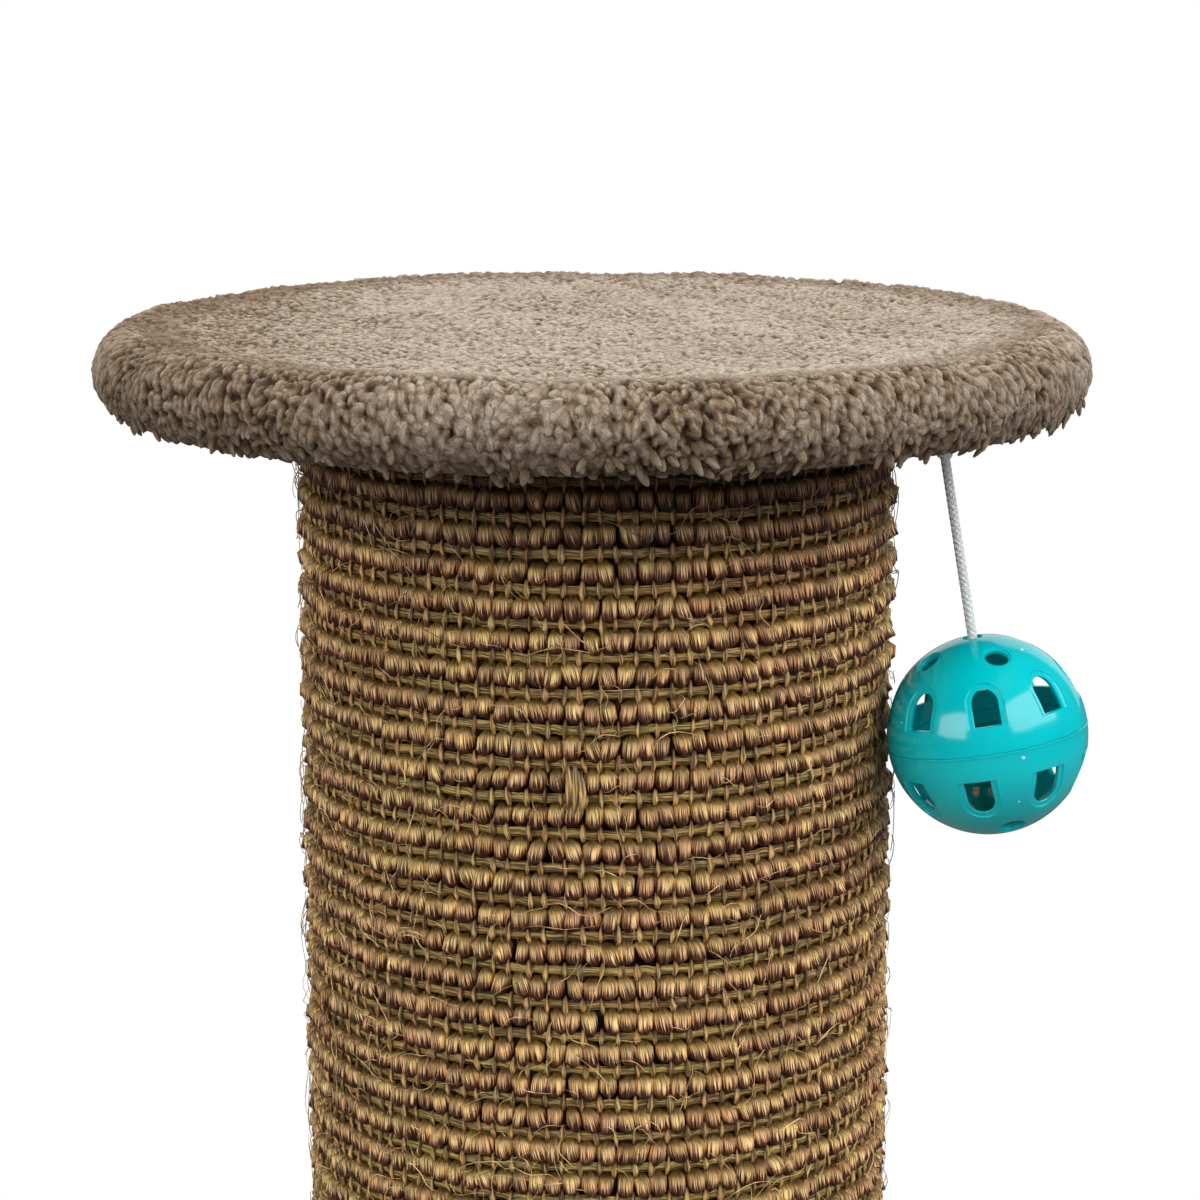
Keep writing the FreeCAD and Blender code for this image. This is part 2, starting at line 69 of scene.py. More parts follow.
def jointAxis(name):
    return unit(np.array(joints[name]["axis"]))


def roundTurn(count):
    # even angles once round
    return np.arange(count) * math.tau / count


def evenSteps(start, end, count):
    # even steps that stop one short of the end
    return np.linspace(start, end, count, endpoint=False)


def aroundPost(angle, radius, height):
    # a point from its angle about Z, its distance from Z and its height
    return np.stack(np.broadcast_arrays(radius * np.cos(angle), radius * np.sin(angle), height), axis=-1)


def ripples(points, length, seed):
    # a smooth random field, mostly within -1 and 1: the mean of seven cosine waves of that
    # length that run in random directions, made 1.6 times larger
    waves, swell = 7, 1.6
    rng = np.random.default_rng(seed)
    directions = unit(rng.normal(size=(waves, 3))) * (math.tau / length)
    phases = rng.uniform(0, math.tau, waves)
    return np.cos(points @ directions.T + phases).mean(axis=-1) * swell


# Meshes: whole arrays of points and faces become objects that ride a body.

def addObject(name, data):
    made = bpy.data.objects.new(name, data)
    bpy.context.scene.collection.objects.link(made)
    return made


def buildMesh(name, points, faces, body, material, cornerUv=None, values=None):
    # faces are rows of point numbers, all triangles or all quads, or a list of such arrays
    faces = faces if isinstance(faces, list) else [faces]
    corners = np.concatenate([part.ravel() for part in faces]).astype(np.int32)
    sizes = np.concatenate([np.full(len(part), part.shape[1]) for part in faces])
    mesh = bpy.data.meshes.new(name)
    mesh.vertices.add(len(points))
    mesh.vertices.foreach_set("co", (points * 0.001).astype(np.float32).ravel())
    mesh.loops.add(len(corners))
    mesh.loops.foreach_set("vertex_index", corners)
    mesh.polygons.add(len(sizes))
    mesh.polygons.foreach_set("loop_start", (np.cumsum(sizes) - sizes).astype(np.int32))
    mesh.update(calc_edges=True)
    mesh.polygons.foreach_set("use_smooth", np.ones(len(sizes), bool))
    if cornerUv is not None:
        layer = mesh.uv_layers.new(name="UVMap")
        layer.data.foreach_set("uv", cornerUv.astype(np.float32).ravel())
    for key, value in (values or {}).items():
        attribute = mesh.attributes.new(key, "FLOAT", "POINT")
        attribute.data.foreach_set("value", value.astype(np.float32))
    mesh.materials.append(material)
    piece = addObject(name, mesh)
    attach(piece, body)
    return piece


def sealMesh(piece, sharp=None):
    # joins points that lie together and turns every face outwards
    shape = bmesh.new()
    shape.from_mesh(piece.data)
    bmesh.ops.remove_doubles(shape, verts=shape.verts, dist=1e-6)
    bmesh.ops.dissolve_degenerate(shape, edges=shape.edges, dist=1e-7)
    bmesh.ops.recalc_face_normals(shape, faces=shape.faces)
    shape.to_mesh(piece.data)
    shape.free()
    if sharp is not None:
        piece.data.set_sharp_from_angle(angle=math.radians(sharp))


def everyPair(first, second):
    # each number of the first list with each number of the second
    one, other = np.meshgrid(first, second, indexing="ij")
    return one.ravel(), other.ravel()


def cornerPairs(across, along):
    # two numbers for each corner of a row of faces
    return np.stack([np.stack(across, axis=1), np.stack(along, axis=1)], axis=-1).reshape(-1, 2)


def gridFaces(rows, columns, closed=True):
    # The quads of a grid of points, whose columns run round and close, and the column and row
    # of each quad's corners.
    row, column = everyPair(np.arange(rows - 1), np.arange(columns if closed else columns - 1))
    after = (column + 1) % columns
    faces = np.stack([row * columns + column, row * columns + after,
                      (row + 1) * columns + after, (row + 1) * columns + column], axis=1)
    return faces, cornerPairs([column, column + 1, column + 1, column], [row, row, row + 1, row + 1])


def buildGrid(name, points, material, values=None, withUv=True):
    # one sealed piece of the stand from a grid of points, rows by columns
    rows, columns = points.shape[:2]
    faces, corners = gridFaces(rows, columns)
    uv = corners / [columns, rows - 1] if withUv else None
    piece = buildMesh(name, points.reshape(-1, 3), faces, "stand", material, uv, values)
    sealMesh(piece)
    return piece


def grains(name, rings, ends, body, material, values):
    # Many closed grains in one mesh. rings holds count x rows x sides points, and ends the two
    # poles that close each grain. UV runs round a grain in u and along it in v. A value is given
    # for each grain, or for each point of each grain.
    count, rows, sides, _ = rings.shape
    each = rows * sides + 2
    points = np.concatenate([rings.reshape(count, rows * sides, 3), ends], axis=1).reshape(-1, 3)
    quads, quadUv = gridFaces(rows, sides)
    side = np.arange(sides)
    after = (side + 1) % sides
    last = (rows - 1) * sides
    caps = np.concatenate([np.stack([after, side, np.full(sides, rows * sides)], axis=1),
                           np.stack([last + side, last + after, np.full(sides, rows * sides + 1)], axis=1)])
    low, high = np.ones(sides), np.full(sides, rows)
    capUv = np.concatenate([cornerPairs([side + 1, side, side + 0.5], [low, low, low - 1]),
                            cornerPairs([side, side + 1, side + 0.5], [high, high, high + 1])])
    start = (np.arange(count) * each)[:, None, None]
    faces = [(quads[None] + start).reshape(-1, 4), (caps[None] + start).reshape(-1, 3)]
    uv = np.concatenate([np.tile(quadUv + [0, 1], (count, 1)), np.tile(capUv, (count, 1))])
    spread = {key: np.broadcast_to(np.reshape(value, (count, -1)), (count, each)).ravel()
              for key, value in values.items()}
    return buildMesh(name, points, faces, body, material, uv / [sides, rows + 1], spread)


# Materials: short names for the shader nodes that this object needs.

noiseApart = 61.0      # how far apart the noise of neighbouring grains lies


def srgb(red, green, blue):
    # a colour as it looks on a screen, 0 to 255, in the linear numbers that shaders take
    value = np.array([red, green, blue]) / 255
    linear = np.where(value < 0.04045, value / 12.92, ((value + 0.055) / 1.055) ** 2.4)
    return (*linear.tolist(), 1.0)


def newMaterial(name, **constants):
    material = bpy.data.materials.new(name)
    material.use_nodes = True
    shader = material.node_tree.nodes["Principled BSDF"]
    for key, value in constants.items():
        shader.inputs[key.replace("_", " ")].default_value = value
    return material, material.node_tree, shader


def addNode(tree, kind, inputs=(), **settings):
    made = tree.nodes.new("ShaderNode" + kind)
    for key, value in settings.items():
        setattr(made, key, value)
    for key, value in dict(inputs).items():
        if isinstance(value, bpy.types.NodeSocket):
            tree.links.new(value, made.inputs[key])
        else:
            made.inputs[key].default_value = value
    return made


def maths(tree, operation, first, second):
    return addNode(tree, "Math", {0: first, 1: second}, operation=operation).outputs[0]


def vectorOf(tree, x, y, z):
    return addNode(tree, "CombineXYZ", {0: x, 1: y, 2: z}).outputs[0]


def product(tree, first, *others):
    # colours multiplied together, from the left
    for other in others:
        node = addNode(tree, "Mix", {0: 1.0, 6: first, 7: other}, data_type="RGBA", blend_type="MULTIPLY")
        first = node.outputs[2]
    return first


def shades(tree, factor, stops):
    node = addNode(tree, "ValToRGB", {0: factor})
    for _ in stops[2:]:
        node.color_ramp.elements.new(0.5)
    for element, (position, colour) in zip(node.color_ramp.elements, stops):
        element.position = position
        element.color = colour
    return node.outputs[0]


def cloud(tree, vector, scale, detail=2.0, roughness=0.5):
    inputs = {"Vector": vector, "Scale": scale, "Detail": detail, "Roughness": roughness}
    return addNode(tree, "TexNoise", inputs).outputs[0]


def stretchTo(tree, value, low, high, toLow=0.0, toHigh=1.0):
    return addNode(tree, "MapRange", {0: value, 1: low, 2: high, 3: toLow, 4: toHigh}).outputs[0]


def place(tree):
    return addNode(tree, "TexCoord").outputs["Object"]


def attribute(tree, name):
    return addNode(tree, "Attribute", attribute_name=name).outputs["Fac"]


def paint(tree, shader, colour):
    tree.links.new(colour, shader.inputs["Base Color"])


def bumped(tree, shader, height, distance, strength=1.0):
    node = addNode(tree, "Bump", {"Height": height, "Distance": distance, "Strength": strength})
    tree.links.new(node.outputs[0], shader.inputs["Normal"])


def grainUv(tree):
    # u, round a grain, and v, along it
    node = addNode(tree, "SeparateXYZ", {0: addNode(tree, "UVMap", uv_map="UVMap").outputs[0]})
    return node.outputs[0], node.outputs[1]


def fibreLines(tree, across, along, shear, detail, roughness):
    # noise drawn out along a grain, other for each grain: fine in u, long in v, slanted by shear
    u, v = grainUv(tree)
    slanted = maths(tree, "ADD", u, maths(tree, "MULTIPLY", v, shear))
    vector = vectorOf(tree, maths(tree, "MULTIPLY", slanted, across), maths(tree, "MULTIPLY", v, along),
                      maths(tree, "MULTIPLY", attribute(tree, "tint"), noiseApart))
    return cloud(tree, vector, 1.0, detail, roughness)


def noiseMaterial(name, noise, dark, pale, bump, spread=(0.3, 0.7), stretch=None, **constants):
    # One noise gives both the colour, from dark to pale over the spread, and the height of the
    # surface. stretch draws it out along layers.
    material, tree, shader = newMaterial(name, **constants)
    vector = place(tree)
    if stretch:
        vector = addNode(tree, "Mapping", {"Vector": vector, "Scale": stretch}).outputs[0]
    value = cloud(tree, vector, *noise)
    paint(tree, shader, shades(tree, value, [(spread[0], srgb(*dark)), (spread[1], srgb(*pale))]))
    bumped(tree, shader, value, bump)
    return material


# The camera stands in front of the post and looks down at it a little.

view = {
    "place": (0.0, -0.66032, 0.59836),   # metres
    "pitch": 11.57,                      # degrees below level
    "lens": 100.0,
    "sensor": 36.0,
    "nearest": 0.02,
    "farthest": 100.0,
}
camera = addObject("camera", bpy.data.cameras.new("camera"))
camera.location = view["place"]
camera.rotation_euler = (math.radians(90 - view["pitch"]), 0, 0)
camera.data.lens = view["lens"]
camera.data.sensor_width = view["sensor"]
camera.data.clip_start = view["nearest"]
camera.data.clip_end = view["farthest"]
bpy.context.scene.camera = camera
bpy.context.scene.view_settings.view_transform = "Standard"

# The cord: eight strands braided round the hanging line, the loop on the eye and both knots.

cord = {
    "route": [(0.06715, -0.01926, 0.49537), (0.06930, -0.01987, 0.48257),
              (0.07145, -0.02049, 0.46976), (0.07359, -0.02110, 0.45698)],   # knot to knot, metres
    "diameter": 2.0,
    "lay": 4.8,                # length of one turn of a strand
    "strandsEachWay": 4,
    "strandWidth": 0.86,
    "strandThickness": 0.5,
    "weave": 0.13,             # how far a strand rises and dips at a crossing
    "ringStep": 0.13,
    "sides": 6,
    "knotReach": 1.8,
    "endKnotReach": 2.6,
    "loopReach": 1.8,
    "filaments": (16.0, 60.0),             # noise across and along a strand
    "shades": [(0.3, srgb(214, 220, 220)), (0.6, srgb(244, 246, 246))],
}


def cordMaterial():
    # white nylon: fine filaments run along each strand, a little greyer in between
    material, tree, shader = newMaterial("cord_nylon", Roughness=0.42, Sheen_Weight=0.25,
                                         Sheen_Roughness=0.4)
    lines = fibreLines(tree, *cord["filaments"], 0.0, 2.0, 0.5)
    paint(tree, shader, shades(tree, lines, cord["shades"]))
    bumped(tree, shader, lines, 0.00005)
    return material


cordFinish = cordMaterial()


def smoothRoute(points):
    # the points along a NURBS spline of order 3 with those control points, in millimetres
    curve = bpy.data.curves.new("cord_route", "CURVE")
    curve.dimensions = "3D"
    curve.resolution_u = 32
    spline = curve.splines.new("NURBS")
    spline.points.add(len(points) - 1)
    spline.points.foreach_set("co", np.column_stack([np.array(points), np.ones(len(points))]).ravel())
    spline.order_u = 3
    spline.use_endpoint_u = True
    holder = bpy.data.objects.new("cord_route", curve)
    mesh = bpy.data.meshes.new_from_object(holder)
    line = np.zeros(len(mesh.vertices) * 3, np.float32)
    mesh.vertices.foreach_get("co", line)
    bpy.data.meshes.remove(mesh)
    bpy.data.objects.remove(holder)
    bpy.data.curves.remove(curve)
    return line.reshape(-1, 3).astype(float) * 1000


def evenly(line, step):
    # the same line with its points a steady step apart, and how far along it they lie
    along = np.concatenate([[0], np.cumsum(np.linalg.norm(np.diff(line, axis=0), axis=1))])
    at = np.linspace(0, along[-1], max(2, int(round(along[-1] / step)) + 1))
    return np.stack([np.interp(at, along, line[:, axis]) for axis in range(3)], axis=1), at


def braid(name, line, toward, body, closed=False):
    # Strands wind both ways round a line. A strand's middle is the line plus a vector that turns
    # once in each lay, and its length rises and dips so that strands pass over and under.
    path, along = evenly(line, cord["ringStep"])
    count, turns = cord["strandsEachWay"], 1.0 / cord["lay"]
    if closed:
        turns = round(along[-1] * turns) / along[-1]
    tangent = unit(np.gradient(path, axis=0))
    across = unit(np.cross(tangent, toward(path)))
    upward = np.cross(across, tangent)
    reach = cord["diameter"] / 2 - cord["strandThickness"] / 2 - cord["weave"]
    ways = np.repeat([1.0, -1.0], count)[:, None]
    starts = np.tile(roundTurn(count), 2)[:, None]
    angle = ways * 2 * math.pi * turns * along + starts
    radius = reach + ways * cord["weave"] * np.cos(count * 2 * math.pi * turns * along)
    outward = np.cos(angle)[..., None] * across + np.sin(angle)[..., None] * upward
    middle = path + radius[..., None] * outward
    heading = unit(np.gradient(middle, axis=1))
    flank = unit(np.cross(heading, outward))
    lift = np.cross(flank, heading)
    side = roundTurn(cord["sides"])
    wide = flank[:, :, None] * (np.cos(side) * cord["strandWidth"] / 2)[:, None]
    thick = lift[:, :, None] * (np.sin(side) * cord["strandThickness"] / 2)[:, None]
    rings = middle[:, :, None] + wide + thick
    ends = np.stack([middle[:, 0], middle[:, -1]], axis=1)
    tints = np.linspace(0, 1, 2 * count)
    return grains(name, rings, ends, body, cordFinish, {"tint": tints}), path


def trefoil(middle, reach):
    # An overhand knot drawn tight, from the line of a trefoil: sin t + 2 sin 2t across,
    # cos t - 2 cos 2t along and -1.6 sin 3t up, which reaches 3 and is scaled to the knot's reach.
    turn = np.linspace(0, math.tau, 160)
    shape = np.stack([np.sin(turn) + 2 * np.sin(2 * turn), np.cos(turn) - 2 * np.cos(2 * turn),
                      -1.6 * np.sin(3 * turn)], axis=1)
    return middle + shape * ((reach - cord["diameter"] / 2) / 3)


cordRoute = smoothRoute(cord["route"])
eyeWire = jointPlace("toy_swing_out")
knotMiddle = jointPlace("toy_swing_side")
swingAxis = jointAxis("toy_swing_out")
hangAxis = jointAxis("ball_spin")
print("cord: route of %.2f mm" % np.linalg.norm(np.diff(cordRoute, axis=0), axis=1).sum())

hangingCord, cordPath = braid("hanging_cord", cordRoute, lambda path: swingAxis, "cord")
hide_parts("toy_cord")
endKnotMiddle = sum(boxOf("cord_end_knot")) / 2
endKnot, _ = braid("cord_knot_in_ball", trefoil(endKnotMiddle, cord["endKnotReach"]),
                   lambda path: path - endKnotMiddle, "cord", True)
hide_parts("cord_end_knot")
turn = np.linspace(0, math.tau, 60)[:, None]
circle = np.cos(turn) * hangAxis + np.sin(turn) * np.cross(swingAxis, hangAxis)
eyeLoop, _ = braid("cord_loop_on_eye", eyeWire + cord["loopReach"] * circle,
                   lambda path: swingAxis, "loop", True)
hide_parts("cord_loop")
upperKnot, _ = braid("cord_knot_under_eye", trefoil(knotMiddle, cord["knotReach"]),
                     lambda path: path - knotMiddle, "loop", True)
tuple(cord["route"][0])
print("cord: braided")

# The carpet: rows of plump loops, wefts and ties between them, loose fibres, and a ground cloth.

carpetLow, carpetHigh = boxOf("sisal_carpet")
carpetRadius = (carpetHigh[0] - carpetLow[0]) / 2
ballMiddle = jointPlace("ball_spin")
ballAngle = math.atan2(ballMiddle[1], ballMiddle[0])

sisal = {
    "rowPitch": 6.65,
    "firstRow": 5.3,           # from the post's foot to the middle of the lowest row
    "lastGap": 3.0,            # least height left above the top row
    "loopsRound": 104,
    "seed": 7,
    "bulge": 1.3,              # how far the carpet stands off the tube on the left
    "bulgeTop": 450.0,         # height where it stands off in full
    "drift": [(0.75, 95, 3), (0.32, 24, 4)],       # of the rows: size, length and seed of its waves
    "pressReach": 30.0,        # the ball presses the loops within this of its middle,
    "pressFade": 8.0,          # in full from this much nearer
    # random errors of a loop's place: shares of the step round the post, and millimetres up it
    "angleError": 0.08, "angleWander": 0.25, "heightError": 0.19,
    # radius is that of a grain's middle; heights are shares of the grain where it has its rings,
    # and sides the angles of a ring's points; vary holds the spread of each size
    "loop": {"radius": 56.1, "width": 3.9, "height": 5.0, "depth": 3.5,
             "taper": 0.26, "leanBack": 0.9, "farthest": 60.4, "pressed": 0.95, "pressedBack": 0.6,
             "vary": {"width": 0.07, "depth": 0.05, "height": 0.06, "lean": 0.22, "knurl": 0.07,
                      "radius": 0.18},
             "heights": [0.08, 0.34, 0.64, 0.92], "sides": [0, 40, 80, 125, 235, 280, 320]},
    "tie": {"radius": 56.9, "width": 1.25, "height": 4.7, "bow": 0.75, "thickness": 0.5, "rootDepth": 0.5,
            "widths": (0.7, 1.25), "tallness": (0.8, 1.12), "vary": {"lean": 0.35, "radius": 0.12},
            "heights": [0.14, 0.45, 0.85], "sides": [0, 90, 180, 270]},
    "weft": {"radius": 56.7, "height": 2.0, "thickness": 1.3, "pinch": 0.18, "levelError": 0.1, "seed": 11,
             "sides": [0, 65, 130, 230, 295], "turnsOfNoise": 8},
    "snag": {"across": -5.2, "height": 439.3, "radius": 59.6, "root": 59.0,
             "width": 0.75, "thickness": 0.7, "bow": 0.8, "bend": 0.5,
             "turns": [-0.016, 0.006, 0.026], "rises": [0.4, 0.0, -0.7], "halves": [4.6, 5.2, 4.0],
             "tints": [0.4, 0.8, 0.6], "heights": [0.1, 0.3, 0.55, 0.8, 0.93],
             "sides": [0, 60, 120, 180, 240, 300]},
    # a stray's length is drawn from a gamma curve of that shape and scale, over a least length
    "stray": {"count": 3900, "radius": 0.08, "thickness": (0.7, 1.5), "depth": 58.9, "rootDepth": 1.2,
              "lengthCurve": (3.0, 2.6), "leastLength": 2.5, "bend": 1.5, "curl": 0.5, "curls": (2, 9),
              "lift": (0.2, 1.5), "liftTurns": (0.55, 1.0), "pressed": 0.9, "tip": 0.2,
              "points": 8, "seed": 23, "sides": [90, 210, 330]},
    "ground": {"radius": 55.2, "wave": 0.25, "inset": 5.25, "gap": 0.05},
    "grainTints": [(0.0, (0.78, 0.6, 0.52, 1)), (0.35, (0.97, 0.82, 0.7, 1)), (0.7, (1.04, 0.94, 0.76, 1)),
                   (1.0, (1.18, 1.1, 0.88, 1))],
    "patchTints": [(0.3, (1.0, 0.93, 0.91, 1)), (0.5, (1.0, 1.0, 1.0, 1)), (0.7, (0.98, 1.03, 0.93, 1))],
    # painted shade under the plush: the top rows are multiplied by these tints
    "plushShadeTints": [(0.0, (1, 1, 1, 1)), (1.0, (0.15, 0.07, 0.08, 1))],
    "plushShadeBand": (0.478, 0.502),     # heights in metres where the rows turn darker and redder, as painted shade under the plush
    # each finish: shades from foot to top of a grain, fibres across and along it, bump, roughness
    "finishes": {
        # the loops' shades hold painted light: painted shade towards the foot, darker and redder, a painted
        # highlight band a little above the middle, and painted shade towards the top
        "loops": ([(0.0, srgb(48, 22, 22)), (0.3, srgb(92, 50, 44)), (0.44, srgb(134, 88, 64)),
                   (0.53, srgb(250, 216, 172)), (0.61, srgb(236, 206, 144)), (0.71, srgb(130, 104, 50)),
                   (1.0, srgb(54, 42, 18))], 46.0, 1.4, 0.0009, 0.36),
        "wefts": ([(0.0, srgb(172, 152, 96)), (0.5, srgb(204, 184, 120)), (1.0, srgb(172, 152, 96))],
                  18.0, 2.2, 0.0006, 0.5),
        "ties": ([(0.0, srgb(96, 66, 50)), (0.5, srgb(196, 166, 118)), (1.0, srgb(104, 76, 54))],
                 6.0, 1.2, 0.0003, 0.5),
        "strays": ([(0.0, srgb(176, 148, 102)), (0.5, srgb(226, 206, 160)), (1.0, srgb(186, 154, 108))],
                   3.0, 3.0, 0.00003, 0.45),
        "ground": ([(0.0, srgb(58, 40, 28)), (1.0, srgb(58, 40, 28))], 60.0, 60.0, 0.0003, 0.8),
    },
}
rowSpan = carpetHigh[2] - carpetLow[2] - sisal["firstRow"] - sisal["lastGap"]
rowCount = int(rowSpan / sisal["rowPitch"]) + 1
rowHeights = carpetLow[2] + sisal["firstRow"] + sisal["rowPitch"] * np.arange(rowCount)
loopStep = math.tau / sisal["loopsRound"]


def sisalMaterial(name, stops, across, along, bump, roughness):
    # Dry plant fibre: its colour runs along the grain, with fine lines of light and dark fibres, over patches
    # of slightly other tints. On the loops the shades along the grain are a painted highlight band and
    # painted shade, and the rows just under the plush get painted shade, darker and redder.
    material, tree, shader = newMaterial(name, Roughness=roughness, Specular_IOR_Level=0.5)
    lines = fibreLines(tree, across, along, 0.12, 2.5, 0.6)
    _, v = grainUv(tree)
    # the shades along the grain, moved a little by the fibre lines; on the loops these are the painted
    # highlight band and painted shade
    base = shades(tree, maths(tree, "ADD", v, stretchTo(tree, lines, 0.3, 0.7, -0.1, 0.1)), stops)
    grey = stretchTo(tree, lines, 0.42, 0.6, 0.26, 1.76)
    own = shades(tree, attribute(tree, "tint"), sisal["grainTints"])
    fibres = product(tree, base, vectorOf(tree, grey, grey, grey), own)
    height = addNode(tree, "SeparateXYZ", {0: place(tree)}).outputs[2]
    # patches of other tints, times the painted shade under the plush
    patches = product(tree, shades(tree, cloud(tree, place(tree), 22.0, 3.0), sisal["patchTints"]),
                      shades(tree, stretchTo(tree, height, *sisal["plushShadeBand"]), sisal["plushShadeTints"]))
    paint(tree, shader, product(tree, fibres, patches))
    bumped(tree, shader, lines, bump)
    return material


def rowDrift(angle, height):
    # rows of hand-glued carpet run a little up and down, in long waves and in short ones
    spot = aroundPost(angle, carpetRadius, height)
    return sum(size * ripples(spot, length, seed) for size, length, seed in sisal["drift"])


def sideBulge(angle, height):
    # the carpet stands off the tube a little on the left, more so higher up
    return sisal["bulge"] * np.clip(-np.cos(angle), 0, 1) ** 2 * np.clip(height / sisal["bulgeTop"], 0, 1)


def nearBall(angle, height):
    # 1 where the ball rests on the post, falling to 0 a little way from it
    away = np.linalg.norm(aroundPost(angle, carpetRadius, height) - ballMiddle, axis=-1)
    return np.clip((sisal["pressReach"] - away) / sisal["pressFade"], 0, 1)


def sisalGrid(heights):
    # the angle and height of each loop in those rows, with their small errors
    rng = np.random.default_rng(sisal["seed"] + int(heights[0]))
    height, index = everyPair(heights, np.arange(sisal["loopsRound"]))
    angle = (index + 0.5) * loopStep + rng.normal(0, sisal["angleError"], len(index)) * loopStep
    angle += sisal["angleWander"] * loopStep * ripples(aroundPost(angle, carpetRadius, height), 70, 5)
    return rng, angle, height + rowDrift(angle, height) + rng.normal(0, sisal["heightError"], len(height))


def grainShape(kind, power):
    # shares of a grain's height, angles round it, and how full it is at each height
    up = np.array(sisal[kind]["heights"])[None, :, None]
    return up, np.radians(sisal[kind]["sides"])[None, None, :], np.sin(math.pi * up) ** power


def uprightGrains(name, material, angle, height, sideways, reach, level, roots, half, tints):
    # Grains that stand on the post. Their points lie sideways of the grain's angle, at reach from
    # the post's axis and at level; their ends are at the roots, half a grain below and above.
    rings = aroundPost(angle[:, None, None] + sideways / reach, reach, level)
    half = half[:, 0, 0]
    ends = np.stack([aroundPost(angle, roots[0], height - half),
                     aroundPost(angle, roots[1], height + half)], axis=1)
    return grains(name, rings, ends, "stand", material, {"tint": tints})


def sisalLoops(name, heights, material):
    # A loop is a plump grain. Round it the point goes by cosine and sine, and up it the width
    # follows the root of a sine, narrower at the top, while the middle leans back into the cloth.
    loop, vary = sisal["loop"], sisal["loop"]["vary"]
    rng, angle, height = sisalGrid(heights)
    count = len(angle)
    each = (count, 1, 1)
    up, around, full = grainShape("loop", 0.5)
    press = nearBall(angle, height)[:, None, None]
    width = loop["width"] / 2 * rng.normal(1, vary["width"], each) * (1.1 - loop["taper"] * up) * full
    depth = loop["depth"] * rng.normal(1, vary["depth"], each) * full
    lean = rng.normal(0, vary["lean"], each) * (up - 0.5) * 2
    half = loop["height"] / 2 * rng.normal(1, vary["height"], each)
    knurl = 1 + rng.normal(0, vary["knurl"], (count, up.shape[1], around.shape[2]))
    sideways = width * np.sin(around) * knurl + lean * loop["width"] / 2
    reach = loop["radius"] + rng.normal(0, vary["radius"], each) - loop["leanBack"] * up ** 2
    reach = reach + depth * np.cos(around) * knurl - loop["pressedBack"] * press
    bulge = sideBulge(angle, height)
    reach = np.minimum(reach, loop["farthest"] - loop["pressed"] * press) + bulge[:, None, None]
    level = height[:, None, None] - half * np.cos(math.pi * up)
    roots = loop["radius"] + bulge, loop["radius"] + bulge - loop["leanBack"]
    return uprightGrains(name, material, angle, height, sideways, reach, level, roots, half,
                         rng.uniform(0, 1, count))


def sisalTies(name, heights, material):
    # a stitch over the weft between two loops: a spindle that bows outward in its middle
    tie, vary = sisal["tie"], sisal["tie"]["vary"]
    rng, angle, height = sisalGrid(heights)
    angle = angle + loopStep / 2
    height = height + sisal["rowPitch"] / 2
    count = len(angle)
    each = (count, 1, 1)
    up, around, full = grainShape("tie", 0.7)
    width = tie["width"] / 2 * rng.uniform(*tie["widths"], each) * full
    sideways = width * np.sin(around) + rng.normal(0, vary["lean"], each) * (up - 0.5)
    reach = tie["radius"] + rng.normal(0, vary["radius"], each) + tie["bow"] * full
    bulge = sideBulge(angle, height)
    reach = reach + tie["thickness"] * full * np.cos(around) + bulge[:, None, None]
    half = tie["height"] / 2 * rng.uniform(*tie["tallness"], each)
    level = height[:, None, None] + half * (2 * up - 1)
    root = tie["radius"] + bulge - tie["rootDepth"]
    return uprightGrains(name, material, angle, height, sideways, reach, level, (root, root), half,
                         rng.uniform(0, 1, count))


def sisalSnag(name, material):
    # one stitch was pulled up long by a claw: three thin spindles side by side, bent a little
    snag = sisal["snag"]
    angle = math.atan2(-1, snag["across"] / carpetRadius) + np.array(snag["turns"])
    height = snag["height"] + np.array(snag["rises"])
    half = np.array(snag["halves"])[:, None, None]
    up, around, full = grainShape("snag", 0.6)
    sideways = snag["width"] * full * np.sin(around) + snag["bend"] * np.sin(3 * up)
    reach = snag["radius"] + snag["bow"] * full + snag["thickness"] * full * np.cos(around)
    level = height[:, None, None] + half * (2 * up - 1)
    roots = snag["root"], snag["root"]
    return uprightGrains(name, material, angle, height, sideways, reach, level, roots, half,
                         np.array(snag["tints"]))


def sisalWefts(name, heights, material):
    # flat yarns that go round between the rows, pinched where a tie crosses them
    weft = sisal["weft"]
    rng = np.random.default_rng(weft["seed"])
    columns, sides = sisal["loopsRound"] * 2, np.radians(weft["sides"])
    angle = roundTurn(columns)
    level = heights[:, None] + sisal["rowPitch"] / 2 + rowDrift(angle[None], heights[:, None])
    level = level + rng.normal(0, weft["levelError"], level.shape)
    pinch = weft["pinch"] * np.cos(np.arange(columns) * math.pi)[:, None]
    reach = weft["radius"] + pinch + np.cos(sides) * weft["thickness"] / 2
    reach = reach + sideBulge(angle[None], level)[..., None]
    points = aroundPost(angle[:, None], reach, level[..., None] + np.sin(sides) * weft["height"] / 2)
    ring, side = everyPair(np.arange(columns), np.arange(len(sides)))
    nextRing, nextSide = (ring + 1) % columns, (side + 1) % len(sides)
    yarn = np.stack([ring * len(sides) + side, nextRing * len(sides) + side,
                     nextRing * len(sides) + nextSide, ring * len(sides) + nextSide], axis=1)
    faces = (yarn[None] + (np.arange(len(heights)) * columns * len(sides))[:, None, None]).reshape(-1, 4)
    uv = cornerPairs([side, side, side + 1, side + 1], [ring, ring + 1, ring + 1, ring])
    uv = uv / [len(sides), weft["turnsOfNoise"]]
    tints = np.repeat(rng.uniform(0, 1, len(heights)), columns * len(sides))
    return buildMesh(name, points.reshape(-1, 3), faces, "stand", material,
                     np.tile(uv, (len(heights), 1)), {"tint": tints})


